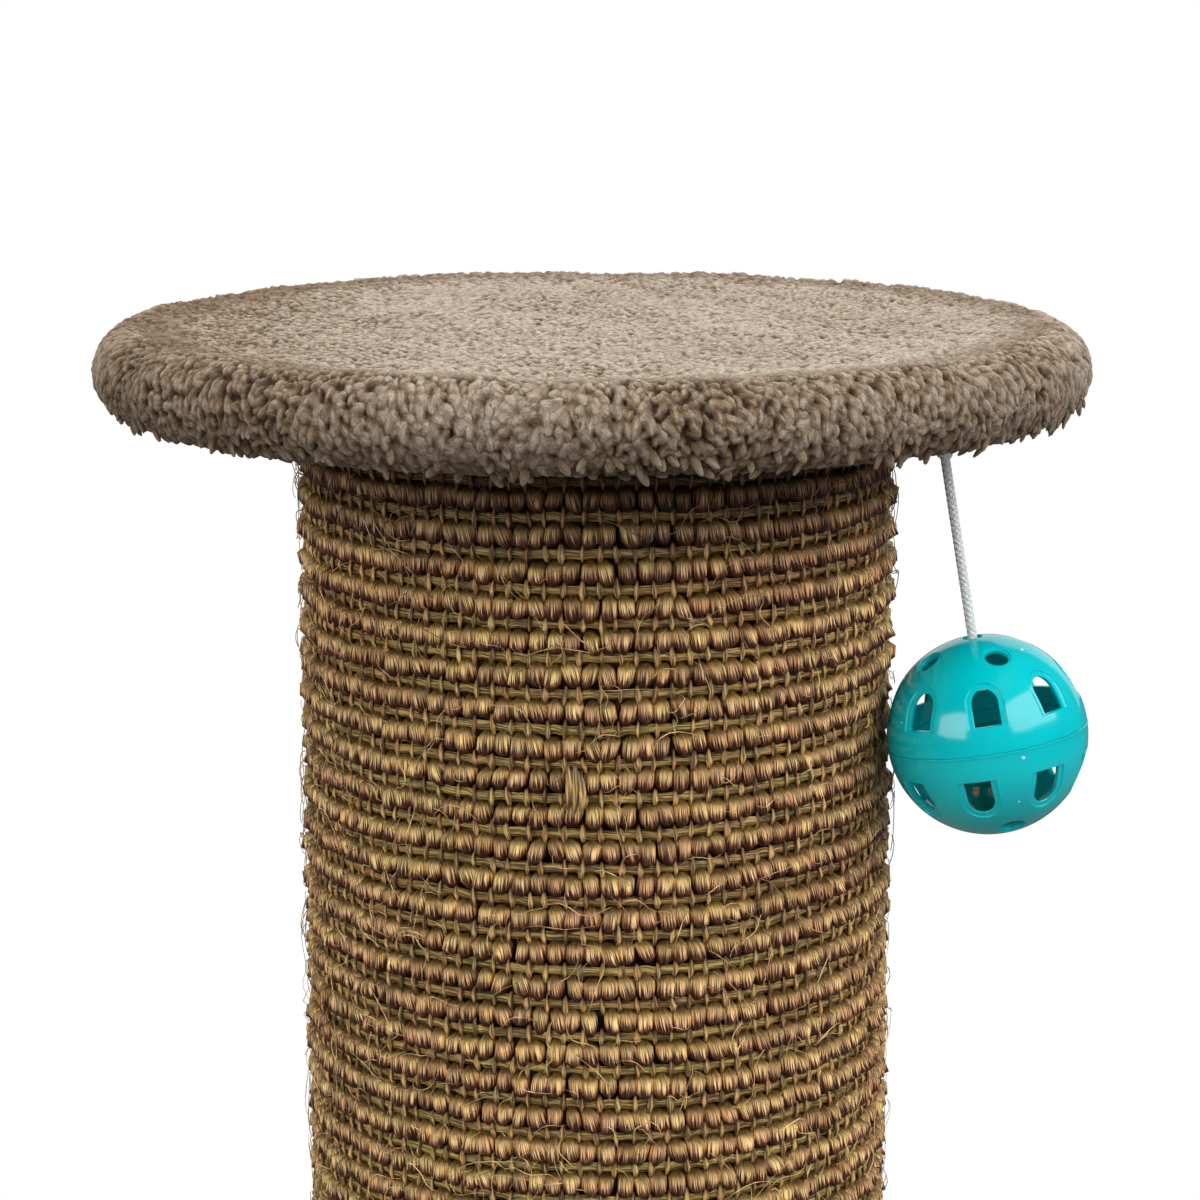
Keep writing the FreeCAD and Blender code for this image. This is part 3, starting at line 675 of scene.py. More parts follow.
def sisalStrays(name, material):
    # Loose fibres: thin bent threads that start in the cloth, curl, and lift off it a little. The
    # heading turns along a fibre, and its place is the sum of short steps along the heading.
    stray = sisal["stray"]
    rng = np.random.default_rng(stray["seed"])
    count, steps = stray["count"], stray["points"]
    each = (count, 1)
    angle = rng.uniform(0, math.tau, each)
    height = rng.uniform(carpetLow[2] + 6, carpetHigh[2] - 4, each)
    length = rng.gamma(*stray["lengthCurve"], each) + stray["leastLength"]
    heading = rng.uniform(0, math.tau, each)
    bend = rng.normal(0, stray["bend"], each)
    along = np.linspace(0, 1, steps)[None, :]
    curl = np.sin(along * rng.uniform(*stray["curls"], each) + heading)
    turn = heading + bend * along + stray["curl"] * curl
    spin = angle + np.cumsum(np.cos(turn), axis=1) * length / steps / carpetRadius
    level = height + np.cumsum(np.sin(turn), axis=1) * length / steps
    level = np.clip(level, carpetLow[2] + 2, carpetHigh[2] - 1)
    lift = rng.uniform(*stray["lift"], each)
    lift = lift * np.sin(math.pi * along * rng.uniform(*stray["liftTurns"], each))
    reach = stray["depth"] + lift - stray["rootDepth"] * (along == 0)
    reach = reach - stray["pressed"] * nearBall(spin, level) + sideBulge(spin, level)
    path = aroundPost(spin, reach, level)
    heading = unit(np.gradient(path, axis=1))
    flank = unit(np.cross(heading, aroundPost(spin, 1.0, 0.0)))
    lifted = np.cross(flank, heading)
    sides = np.radians(stray["sides"])[:, None]
    thick = stray["radius"] * rng.uniform(*stray["thickness"], (count, 1, 1, 1))
    section = flank[:, :, None] * np.cos(sides) + lifted[:, :, None] * np.sin(sides)
    tip = heading * stray["tip"]
    ends = np.stack([path[:, 0] - tip[:, 0], path[:, -1] + tip[:, -1]], axis=1)
    return grains(name, path[:, :, None] + thick * section, ends, "stand", material,
                  {"tint": rng.uniform(0, 1, count)})


def sisalGround(name, material):
    # the cloth's ground, under the loops: a closed sleeve with a low wave in each row
    ground = sisal["ground"]
    inner = carpetRadius - ground["inset"]
    heights = np.linspace(carpetLow[2] + ground["gap"], carpetHigh[2] - ground["gap"], rowCount * 2 + 1)
    wave = ground["radius"] + ground["wave"] * np.cos(math.pi * np.arange(len(heights)))
    radii = np.concatenate([[inner], wave, [inner], [inner]])
    levels = np.concatenate([heights[:1], heights, heights[-1:], heights[:1]])
    points = aroundPost(roundTurn(sisal["loopsRound"])[None], radii[:, None], levels[:, None])
    return buildGrid(name, points, material, {"tint": np.full(points[..., 0].size, 0.3)})


sisalFinish = {key: sisalMaterial("sisal_" + key, *finish) for key, finish in sisal["finishes"].items()}
backing = sisalGround("sisal_backing", sisalFinish["ground"])
sisalPieces = []
for number, band in enumerate(np.array_split(rowHeights, 4), start=1):
    sisalPieces.append(sisalLoops("sisal_loops_%d" % number, band, sisalFinish["loops"]))
for number, band in enumerate(np.array_split(rowHeights[:-1], 2), start=1):
    sisalPieces.append(sisalTies("sisal_ties_%d" % number, band, sisalFinish["ties"]))
sisalPieces.append(sisalWefts("sisal_wefts", rowHeights[:-1], sisalFinish["wefts"]))
sisalPieces.append(sisalStrays("sisal_stray_fibres", sisalFinish["strays"]))
sisalPieces.append(sisalSnag("sisal_snag", sisalFinish["ties"]))
for piece in [backing] + sisalPieces:
    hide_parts("sisal_carpet")
print("sisal: %d rows of %d loops" % (rowCount, sisal["loopsRound"]))

# The plush: cloth over each board, with a pile whose clumps are pressed into a height field.

platformPlush = {
    "name": "platform_plush", "node": "top_cover", "board": "top_board",
    "innerEdge": 0.0, "foldEdge": 75.0, "flatCut": 0.248,
    "topDepth": 2.9, "rimDepth": 2.6, "underDepth": 2.6,     # from the pile's outer face to its cloth
    "shift": -1.9,             # the cover was pulled a little to the left
    "undulation": 1.0,
    "clothColumns": 192,
    "seed": 31,
    "coarse": 1.0,             # how much larger the clumps on the flat are than naps says
    "topClumps": 14500, "rimClumps": 6800, "locks": 460, "cordLocks": 46,
    "edgeRise": 0.7,           # the pile stands higher along the edge of the flat
    "topRings": [(0.0, 46.0, 420, 86), (46.0, 90.2, 880, 80)],   # from, to, columns, rows
    "rimGrid": (1400, 62),
}
basePlush = {
    "name": "base_plush", "node": "base_cover", "board": "base_board",
    "innerEdge": 60.0, "foldEdge": 132.0, "flatCut": 0.416,
    "topDepth": 2.9, "rimDepth": 2.6, "underDepth": 1.4,
    "shift": 0.0,
    "undulation": 1.1,
    "clothColumns": 192,
    "seed": 47,
    "coarse": 1.4,
    "topClumps": 13000, "rimClumps": 7600, "locks": 0,
    "edgeRise": 0.3,
    "topRings": [(60.0, 112.0, 520, 56), (112.0, 156.0, 1000, 56)],
    "rimGrid": (1250, 48),
}
# the pile's clumps on the flat, and round the rim
naps = {
    "top": {"length": 2.3, "width": 1.3, "height": 1.25, "spread": 0.8, "swirl": 1.3, "swirlLength": 44,
            "vary": 0.08},
    "rim": {"length": 3.5, "width": 1.95, "height": 2.1, "spread": 0.55, "swirl": 0.5, "swirlLength": 20,
            "vary": 0.2},
}
pile = {
    "waveLengths": (34, 13),   # of the soft rise and fall on the flat
    "puff": 0.7, "puffLength": 21,         # of the rim
    "pitch": 0.42,             # of the square grid on the flat
    "window": 0.62,            # a clump's window reaches this share of its length
    "jitter": 0.25,            # of a clump's width
    "sizes": (0.75, 1.3),
    "bend": 0.22,
    "leftShrink": 0.25,        # clumps are smaller on the left
    "rimShrink": 0.28,         # and where the rim starts
    "frontFlatten": 0.3,       # and flatter under the rim in front
    "grow": 16.0,              # the flat's clumps grow over this run before the rim
    "growShare": 0.35,
    "overlap": 5.0,            # run on each side of the rim's start that takes both kinds
    "lean": 0.4,
    # depth of pile below the clumps: run from the rim's start, depth, and share of edgeRise
    "bed": [(-14, 1.1, 0), (-1, 1.1, 1), (5, 0.9, 1), (13, 0.5, 0)],
    "bedEnd": 0.1,
    "fullRise": [(-12, "top", 0.8), (5, "rim", 1.15)],     # run, and height that counts as full
    "innerRows": 7,
    "innerDepth": 0.2,
}
lock = {
    "places": (0.5, 0.9),      # shares of the way from the rim's start to its end
    "byCordLower": 0.08, "byCordSpread": 0.07, "byCordExtra": 0.9,     # share, radians, length
    "rootHeight": 0.7, "rootDepth": 0.4, "lean": 0.5,
    "length": (2.2, 3.8),
    "bend": (0.1, 0.4), "width": (0.7, 1.05), "flatness": 0.7,
    "shares": [0.08, 0.4, 0.72, 0.93],     # of the length, where a lock has its rings
    "taper": [0.85, 1.0, 0.85, 0.5],
    "rises": [0.2, 0.42, 0.56, 0.66], "rootRise": 0.1, "tipRise": 0.7,
    "sides": 6,
}
plushLook = {
    # the pile's shades by height in it: the dark low stops are painted shade between the clumps
    "pile": [(0.1, srgb(64, 47, 33)), (0.46, srgb(117, 97, 76)), (0.95, srgb(179, 167, 152))],
    "cloth": [(0.2, srgb(98, 80, 62)), (0.8, srgb(124, 106, 86))],
    "sheen": 0.14, "sheenTint": (235, 224, 205), "specular": 0.12,
    "softness": 0.4, "softReach": 0.0014, "softColours": (1.0, 0.8, 0.65),
    "combAcross": 3.4, "combAlong": 0.55,      # waves of the combed noise for each millimetre
    "fluffScale": 2600.0, "fluffShare": 0.4,
    "clumpTints": [(0.0, (0.93, 0.925, 0.92, 1)), (1.0, (1.06, 1.06, 1.055, 1))],
    "patchTints": [(0.3, (0.96, 0.955, 0.95, 1)), (0.7, (1.03, 1.03, 1.03, 1))],
}


def plushMaterial(name, stops, softness):
    # Pile: dark down between its clumps, as painted shade, and pale on them, with fine combed fibres and
    # light that spreads through it. rise is the height in the pile, across and along run over each clump.
    look = plushLook
    material, tree, shader = newMaterial(
        name, Roughness=0.9, Specular_IOR_Level=look["specular"],
        Sheen_Weight=look["sheen"], Sheen_Roughness=0.5, Sheen_Tint=srgb(*look["sheenTint"]),
        Subsurface_Weight=softness, Subsurface_Scale=look["softReach"], Subsurface_Radius=look["softColours"])
    tint = attribute(tree, "tint")
    combed = vectorOf(tree, maths(tree, "MULTIPLY", attribute(tree, "across"), look["combAcross"]),
                      maths(tree, "MULTIPLY", attribute(tree, "along"), look["combAlong"]),
                      maths(tree, "MULTIPLY", tint, noiseApart))
    lines = cloud(tree, combed, 1.0, 2.0, 0.6)
    fluff = cloud(tree, place(tree), look["fluffScale"], 2.0, 0.6)
    fuzz = addNode(tree, "Mix", {0: look["fluffShare"], 2: lines, 3: fluff}).outputs[0]
    depth = maths(tree, "ADD", attribute(tree, "rise"), stretchTo(tree, fuzz, 0.35, 0.65, -0.12, 0.12))
    grey = stretchTo(tree, fuzz, 0.35, 0.65, 0.84, 1.12)
    patches = shades(tree, cloud(tree, place(tree), 34.0, 3.0), look["patchTints"])
    paint(tree, shader, product(tree, shades(tree, depth, stops), vectorOf(tree, grey, grey, grey),
                                shades(tree, tint, look["clumpTints"]), patches))
    bumped(tree, shader, fuzz, 0.00035)
    return material


pileFinish = plushMaterial("plush_pile", plushLook["pile"], plushLook["softness"])
clothFinish = plushMaterial("plush_ground", plushLook["cloth"], 0.0)


def coverProfile(plush):
    # Half the cloth's section, from the middle over the top and round the rim to the fold's edge:
    # a straight line, half a circle of the rim's radius, and a straight line back. Places on it
    # are given by their run, which is the inner edge's radius and the length from there.
    low, high = boxOf(plush["node"])
    radius = high[0] - plush["rimDepth"]
    top, bottom = high[2] - plush["topDepth"], low[2] + plush["underDepth"]
    corner = (top - bottom) / 2
    bend = np.linspace(math.pi / 2, -math.pi / 2, 29)
    flat = evenSteps(plush["innerEdge"], radius - corner, 40)
    under = np.linspace(radius - corner, plush["foldEdge"], 8)[1:]
    radii = np.concatenate([flat, radius - corner + corner * np.cos(bend), under])
    levels = np.concatenate([np.full(len(flat), top), bottom + corner + corner * np.sin(bend),
                             np.full(len(under), bottom)])
    steps = np.hypot(np.diff(radii), np.diff(levels))
    run = plush["innerEdge"] + np.concatenate([[0], np.cumsum(steps)])
    return {"run": run, "radii": radii, "levels": levels,
            "rimStart": run[len(flat)], "rimEnd": run[-len(under) - 1]}


def settle(plush, points):
    # the pile rises and falls softly on the flat, the rim puffs in and out, and the whole cover
    # sits a little to one side
    low, high = boxOf(plush["node"])
    seed = plush["seed"]
    long, short = pile["waveLengths"]
    rise = plush["undulation"] * (0.5 * ripples(points, long, seed) + 0.5 * ripples(points, short, seed + 1))
    share = np.clip((points[..., 2] - high[2] + 7) / 6, 0, 1)
    around = np.linalg.norm(points[..., :2], axis=-1) / high[0]
    puff = pile["puff"] * ripples(points, pile["puffLength"], seed + 2) * around ** 6
    sideways = plush["shift"] * around ** 2 + puff * points[..., 0] / high[0]
    return points + np.stack([sideways, puff * points[..., 1] / high[0], rise * share], axis=-1)


def onCover(profile, run, angle):
    # the point of the cloth at that run and angle, with its directions: outwards, on along the
    # section, and round the post
    span = 0.6     # the section's direction is taken over this run on each side

    def section(at):
        return [np.interp(at, profile["run"], profile[key]) for key in ("radii", "levels")]

    radius, level = section(run)
    (afterR, afterZ), (beforeR, beforeZ) = section(run + span), section(run - span)
    along = unit(np.stack([afterR - beforeR + 0 * angle, afterZ - beforeZ + 0 * angle], axis=-1))
    outward = aroundPost(angle + 0 * run, 1.0, 0.0)
    upright = np.array([0, 0, 1.0])
    slope = outward * along[..., :1] + upright * along[..., 1:]
    normal = -outward * along[..., 1:] + upright * along[..., :1]
    sideways = np.stack([-outward[..., 1], outward[..., 0], 0 * outward[..., 0]], axis=-1)
    return aroundPost(angle + 0 * run, radius, level), normal, slope, sideways


def plushCloth(plush, name, profile):
    # the cloth that the pile grows from, wrapped over the board's rim and under it: one closed
    # shell, its outside as the profile above and its inside against the board
    angle = roundTurn(plush["clothColumns"])[None]
    low, high = boxOf(plush["board"])
    gap = 0.25
    innerR = np.array([plush["foldEdge"], high[0] + gap, high[0] + gap, plush["innerEdge"]])
    innerZ = np.array([low[2] - gap, low[2] - gap, high[2] + gap, high[2] + gap])
    outer = settle(plush, aroundPost(angle, profile["radii"][:, None], profile["levels"][:, None]))
    points = np.concatenate([outer, aroundPost(angle, innerR[:, None], innerZ[:, None]), outer[:1]])
    values = dict.fromkeys(("tint", "rise", "across", "along"), np.full(points[..., 0].size, 0.5))
    return buildGrid(name, points, clothFinish, values)


def clumpSeeds(plush, profile, kind, fromRun, toRun, seed):
    # Clumps spread evenly over a stretch of the cover, by a spiral of the golden angle: the area
    # swept from the stretch's start grows by the same step at each clump.
    rng = np.random.default_rng(seed)
    nap, count = naps[kind], plush[kind + "Clumps"]
    jitter = pile["jitter"] * nap["width"]
    fine = np.linspace(fromRun, toRun, 2000)
    reach = np.interp(fine, profile["run"], profile["radii"])
    area = np.concatenate([[0], np.cumsum((reach[1:] + reach[:-1]) / 2 * np.diff(fine))])
    run = np.interp((np.arange(count) + 0.5) / count * area[-1], area, fine) + rng.normal(0, jitter, count)
    run = np.clip(run, fromRun, toRun)
    radius = np.interp(run, profile["run"], profile["radii"])
    angle = np.arange(count) * goldenAngle + rng.normal(0, jitter, count) / np.maximum(radius, 5)
    spot, normal, _, _ = onCover(profile, run, angle)
    comb = nap["spread"] * rng.normal(0, 1, count)
    comb = comb + nap["swirl"] * math.pi * ripples(spot, nap["swirlLength"], seed + 5)
    size = rng.uniform(*pile["sizes"], count) * (1 + nap["vary"] * ripples(spot, 38, seed + 6))
    size = size * (1 - pile["leftShrink"] * np.clip(-spot[:, 0] / 40 - 0.9, 0, 1))
    if kind == "top":
        size = size * plush["coarse"]
    if kind == "rim":
        size = size * (1 - pile["rimShrink"] + pile["rimShrink"] * np.clip((run - fromRun) / 7, 0, 1))
    inFront = np.clip(0.1 - np.sin(angle), 0, 1)
    flattened = 1 - pile["frontFlatten"] * np.clip(-1.4 * normal[:, 2], 0, 1) * inFront
    return {"run": run, "angle": angle % math.tau, "radius": radius, "comb": comb,
            "length": nap["length"] * size, "width": nap["width"] * size,
            "height": nap["height"] * size ** 0.5 * flattened,
            "bend": rng.normal(0, pile["bend"], count), "tint": rng.uniform(0, 1, count)}


def pressClumps(shape, row, column, rowStep, columnStep, wraps, seeds, comb):
    # A clump is half of an egg that lies along its comb: its height is (1 - r squared) to the
    # power 0.55, where r is 1 at its edge, times a half at its root that grows to 1 at its tip.
    # Each is laid into a grid in a window round its seed, and where clumps meet the highest counts.
    rows, columns = shape
    seed = {key: value[:, None] for key, value in seeds.items()}
    far = seeds["length"].max() * pile["window"]
    farRow, farColumn = int(far / rowStep), int(far / columnStep.min())
    i, j = everyPair(np.arange(-farRow, farRow + 1), np.arange(-farColumn, farColumn + 1))
    atRow = np.round(row).astype(int)[:, None] + i[None]
    atColumn = np.round(column).astype(int)[:, None] + j[None]
    onward = (atRow - row[:, None]) * rowStep
    sideward = (atColumn - column[:, None]) * columnStep[:, None]
    c, s = np.cos(comb)[:, None], np.sin(comb)[:, None]
    along = onward * c + sideward * s
    across = sideward * c - onward * s
    across = across - seed["bend"] * along ** 2 / seed["width"]
    share = along / seed["length"] + 0.5
    edge = (2 * share - 1) ** 2 + (2 * across / seed["width"]) ** 2
    height = seed["height"] * np.clip(1 - edge, 0, 1) ** 0.55 * (0.5 + 0.5 * np.clip(share, 0, 1))
    inside = (edge < 1) & (atRow >= 0) & (atRow < rows)
    if wraps:
        atColumn = atColumn % columns
    else:
        inside &= (atColumn >= 0) & (atColumn < columns)
    cell, high = (atRow * columns + atColumn)[inside], height[inside]
    layers = {"height": np.zeros(rows * columns)}
    np.maximum.at(layers["height"], cell, high)
    wins = high >= layers["height"][cell] - 1e-9
    spread = {"tint": seed["tint"] + 0 * along, "across": across, "along": along,
              "comb": comb[:, None] + 0 * along}
    for key, value in spread.items():
        layers[key] = np.full(rows * columns, 0.5)
        layers[key][cell[wins]] = value[inside][wins]
    return {key: value.reshape(rows, columns) for key, value in layers.items()}


def pileShell(plush, name, profile, run, angle, layers):
    # the pile's outer face, raised off the cloth by the clumps and leaning along their comb, and
    # closed below by a plain inner face
    base, normal, slope, sideways = onCover(profile, run[:, None], angle[None])
    base = settle(plush, base)
    rimStart = profile["rimStart"]
    bedRun = [rimStart + at for at, _, _ in pile["bed"]] + [profile["rimEnd"]]
    bedDepth = [depth + share * plush["edgeRise"] for _, depth, share in pile["bed"]] + [pile["bedEnd"]]
    thick = np.interp(run, bedRun, bedDepth)
    full = np.interp(run, [rimStart + at for at, _, _ in pile["fullRise"]],
                     [naps[kind]["height"] * share for _, kind, share in pile["fullRise"]])
    high = (layers["height"] + thick[:, None])[..., None]
    lean = (pile["lean"] * layers["height"])[..., None]
    comb = layers["comb"][..., None]
    outer = base + normal * high + lean * (np.cos(comb) * slope + np.sin(comb) * sideways)
    picks = np.unique(np.linspace(0, len(run) - 1, pile["innerRows"]).astype(int))[::-1]
    inner = base[picks] - normal[picks] * pile["innerDepth"]
    flat = np.zeros((len(picks), len(angle)))
    values = {"tint": layers["tint"], "across": layers["across"], "along": layers["along"],
              "rise": np.clip(layers["height"] / full[:, None], 0, 1)}
    values = {key: np.concatenate([value, flat, value[:1]]).ravel() for key, value in values.items()}
    points = np.concatenate([outer, inner, outer[:1]])
    return buildGrid(name, points, pileFinish, values, withUv=False)


def readOff(square, atRow, atColumn):
    # the layers of a square grid at places between its points: heights mixed from the four points
    # around, and the others from the nearest
    r, c = np.floor(atRow).astype(int), np.floor(atColumn).astype(int)
    fr, fc = atRow - r, atColumn - c
    near = np.round(atRow).astype(int), np.round(atColumn).astype(int)
    layers = {key: value[near] for key, value in square.items()}
    value = square["height"]
    layers["height"] = (value[r, c] * (1 - fr) * (1 - fc) + value[r + 1, c] * fr * (1 - fc)
                        + value[r, c + 1] * (1 - fr) * fc + value[r + 1, c + 1] * fr * fc)
    return layers


def plushTop(plush, profile, seeds):
    # the flat's clumps are pressed into a square grid, and rings of points read it off
    pitch = pile["pitch"]
    half = int((profile["rimStart"] + 6) / pitch)
    size = 2 * half + 1
    row = half + seeds["run"] * np.cos(seeds["angle"]) / pitch
    column = half + seeds["run"] * np.sin(seeds["angle"]) / pitch
    direction = seeds["comb"] + seeds["angle"]
    square = pressClumps((size, size), row, column, pitch, np.full(len(row), pitch), False, seeds, direction)
    pieces = []
    for number, (start, end, columns, rows) in enumerate(plush["topRings"], start=1):
        run, angle = np.linspace(start, end, rows), roundTurn(columns)
        layers = readOff(square, half + run[:, None] * np.cos(angle)[None] / pitch,
                         half + run[:, None] * np.sin(angle)[None] / pitch)
        layers["comb"] = layers["comb"] - angle[None]
        name = "%s_pile_top_%d" % (plush["name"], number)
        pieces.append(pileShell(plush, name, profile, run, angle, layers))
    return pieces


def plushRim(plush, profile, seeds):
    # the rim's clumps are pressed into a grid whose columns go round and rows over the rim
    columns, rows = plush["rimGrid"]
    run = np.linspace(profile["rimStart"] - 0.6, profile["rimEnd"] + 0.5, rows)
    step = run[1] - run[0]
    row = (seeds["run"] - run[0]) / step
    column = seeds["angle"] / (2 * math.pi) * columns
    columnStep = seeds["radius"] * 2 * math.pi / columns
    layers = pressClumps((rows, columns), row, column, step, columnStep, True, seeds, seeds["comb"])
    return pileShell(plush, plush["name"] + "_pile_rim", profile, run, roundTurn(columns), layers)


def plushLocks(plush, profile, seed):
    # Loose pointed locks round the lower rim. A lock's middle line is start + length x (share x
    # first heading + share squared x bend x second heading), and its width runs to a point.
    rng = np.random.default_rng(seed)
    count = plush["locks"] + plush["cordLocks"]
    each, wide = (count, 1), (count, 1, 1)
    byCord = np.arange(count) >= plush["locks"]
    share = rng.uniform(*lock["places"], count) + lock["byCordLower"] * byCord
    run = profile["rimStart"] + (profile["rimEnd"] - profile["rimStart"]) * share
    atCord = ballAngle + rng.normal(0.0, lock["byCordSpread"], count)
    angle = np.where(byCord, atCord, rng.uniform(0, math.tau, count))
    base, normal, slope, sideways = onCover(profile, run, angle)
    outward = aroundPost(angle, 1.0, 0.0)
    base = settle(plush, base) + normal * lock["rootHeight"]
    lean = rng.normal(0, lock["lean"], each)
    first = unit(0.55 * outward * rng.uniform(0.3, 1.1, each) + slope * 0.8 + sideways * lean)
    second = unit(np.array([0, 0, -1.0]) * 0.3 + sideways * rng.normal(0, 1, each) - normal * 0.2)
    length = rng.uniform(*lock["length"], wide) + lock["byCordExtra"] * byCord[:, None, None]
    bend = rng.uniform(*lock["bend"], wide)
    share = np.array(lock["shares"])[None, :, None]
    path = base[:, None] + length * (share * first[:, None] + share ** 2 * bend * second[:, None])
    heading = unit(first[:, None] + 2 * share * bend * second[:, None])
    flank = unit(np.cross(heading, normal[:, None]))
    lifted = np.cross(flank, heading)
    side = roundTurn(lock["sides"])[:, None]
    section = flank[:, :, None] * np.cos(side) + lock["flatness"] * lifted[:, :, None] * np.sin(side)
    width = rng.uniform(*lock["width"], wide) * np.array(lock["taper"])[None, :, None]
    rings = path[:, :, None] + width[..., None] * section
    tip = base + length[:, 0] * 1.03 * (first + bend[:, 0] * second)
    root = base - first * lock["rootDepth"]
    rise = np.append(np.repeat(lock["rises"], lock["sides"]), [lock["rootRise"], lock["tipRise"]])
    across = np.append(np.tile(np.sin(side[:, 0]), len(lock["rises"])), [0, 0])
    values = {"rise": rise, "along": rise * 3, "across": across}
    values = {key: np.tile(value, (count, 1)) for key, value in values.items()}
    values["tint"] = rng.uniform(0, 1, count)
    return grains(plush["name"] + "_locks", rings, np.stack([root, tip], axis=1), "stand",
                  pileFinish, values)


def plushOver(plush):
    # one plush cover: its cloth, the pile on its top and round its rim, and loose locks
    profile = coverProfile(plush)
    rimStart, seed = profile["rimStart"], plush["seed"]
    cloth = plushCloth(plush, plush["name"] + "_cloth", profile)
    flat = clumpSeeds(plush, profile, "top", plush["innerEdge"], rimStart, seed)
    rim = clumpSeeds(plush, profile, "rim", rimStart, profile["rimEnd"] + 1.5, seed + 9)
    # near the edge the flat's clumps grow towards the rim's, and each grid takes both kinds
    grow = np.clip((flat["run"] - rimStart + pile["grow"]) / pile["grow"], 0, 1)
    for key in ("length", "width", "height"):
        flat[key] = flat[key] * (1 + grow * (naps["rim"][key] / naps["top"][key] - 1) * pile["growShare"])
    rimEdge = rim["run"] < rimStart + pile["overlap"]
    flatEdge = flat["run"] > rimStart - pile["overlap"]
    onTop = {key: np.concatenate([flat[key], rim[key][rimEdge]]) for key in flat}
    onRim = {key: np.concatenate([rim[key], flat[key][flatEdge]]) for key in flat}
    pieces = plushTop(plush, profile, onTop)
    pieces.append(plushRim(plush, profile, onRim))
    if plush["locks"]:
        pieces.append(plushLocks(plush, profile, seed + 21))
    for piece in [cloth] + pieces:
        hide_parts(plush["node"])


plushOver(platformPlush)
plushOver(basePlush)
print("plush: pile on both covers")

# The ball: two moulded halves with windows and holes, and a few pips left by the mould.

ball = {
    "radius": 19.75, "wall": 1.2,
    "windows": 8, "windowWidth": 5.15, "windowSill": 5.25, "windowHeight": 6.7,
    "recessWidth": 1.25, "recessDepth": 0.32,
    "holeRadius": 2.3, "holeLatitude": 59.0, "holeRecess": 0.55, "holeRecessDepth": 0.3, "poleHole": 1.9,
    "ridge": 0.15,
    "lipOuter": 0.05, "lipInner": 0.85, "lipDepth": 1.4, "lipRoot": 1.2,   # the lip inside the wall
    "upperTurn": 12.8, "lowerTurn": 1.0,
    "bandTop": 1.6, "windowTop": 46.0, "holeTop": 72.0,    # latitudes where the patches meet
    "across": 12, "windowRows": 12, "holeRows": 8,         # points along the patches' sides
    # rings round an opening: shares of the way in from the patch's edge, outside and inside, and
    # between them how far out the recess still is and how deep it lies
    "outsideRings": [0, 0.25, 0.5, 0.75, 0.92, 1],
    "recessRings": [(0.96, 0.15), (0.88, 0.7), (0.8, 0.9), (0.4, 1.0), (0.1, 1.1), (0.0, 1.5)],
    "insideRings": [0.7, 0.35, 0],
    "sharpAngle": 32,
    # small pips left by the mould: across and up from the middle as seen from the front, and size
    "pips": [(6.3, 16.6, 0.42), (7.0, -4.4, 0.36), (6.4, -12.9, 0.22), (-16.6, 1.7, 0.22)],
}
ballWindow = math.tau / ball["windows"]      # the angle from one window to the next


def ballMaterial():
    # glossy moulded plastic: one colour, a very fine ripple, a little light passing through
    material, tree, shader = newMaterial("ball_plastic", Roughness=0.13, IOR=1.5, Subsurface_Weight=0.12,
                                         Subsurface_Scale=0.004, Subsurface_Radius=(0.4, 1.0, 1.0))
    clouds = cloud(tree, place(tree), 60.0, 3.0)
    paint(tree, shader, shades(tree, clouds, [(0.3, srgb(0, 194, 202)), (0.7, srgb(0, 203, 211))]))
    bumped(tree, shader, cloud(tree, place(tree), 420.0, 3.0), 0.00005, 0.6)
    return material


def onSphere(azimuth, latitude, radius):
    return aroundPost(azimuth, radius * np.cos(latitude), radius * np.sin(latitude))


def sphereAngles(points):
    flat = np.hypot(points[..., 0], points[..., 1])
    return np.stack([np.arctan2(points[..., 1], points[..., 0]), np.arctan2(points[..., 2], flat)], axis=-1)


def patchEdge(lowLatitude, highLatitude, across, upward):
    # once round a patch of the sphere from its lower left corner, in azimuth and latitude
    half = ballWindow / 2
    low, high = math.radians(lowLatitude), math.radians(highLatitude)
    right, rise = evenSteps(-half, half, across), evenSteps(low, high, upward)
    left, fall = -right, low + high - rise
    sides = [(right, 0 * right + low), (0 * rise + half, rise),
             (left, 0 * left + high), (0 * fall - half, fall)]
    return np.concatenate([np.stack(side, axis=1) for side in sides])


def windowEdge(grow, radius):
    # Once round a window: along its sill, up its side and an eighth of a turn of its arch, over
    # the arch, and down again. grow moves all but the sill outwards.
    half = ball["windowWidth"] / 2 + grow
    sill = ball["windowSill"] - 0.08 * grow
    spring = ball["windowSill"] + ball["windowHeight"] - ball["windowWidth"] / 2
    side, eighth = spring - sill, half * math.pi / 4

    def jamb(run):
        turn = np.maximum(run - side, 0) / half
        return half * np.cos(turn), np.minimum(sill + run, spring) + half * np.sin(turn)

    rightX, rightZ = jamb(evenSteps(0, side + eighth, ball["windowRows"]))
    leftX, leftZ = jamb(evenSteps(side + eighth, 0, ball["windowRows"]))
    over = evenSteps(math.pi / 4, 3 * math.pi / 4, ball["across"])
    x = np.concatenate([evenSteps(-half, half, ball["across"]), rightX, half * np.cos(over), -leftX])
    z = np.concatenate([np.full(ball["across"], sill), rightZ, spring + half * np.sin(over), leftZ])
    return np.stack([np.sqrt(radius ** 2 - x ** 2 - z ** 2), x, z], axis=-1)


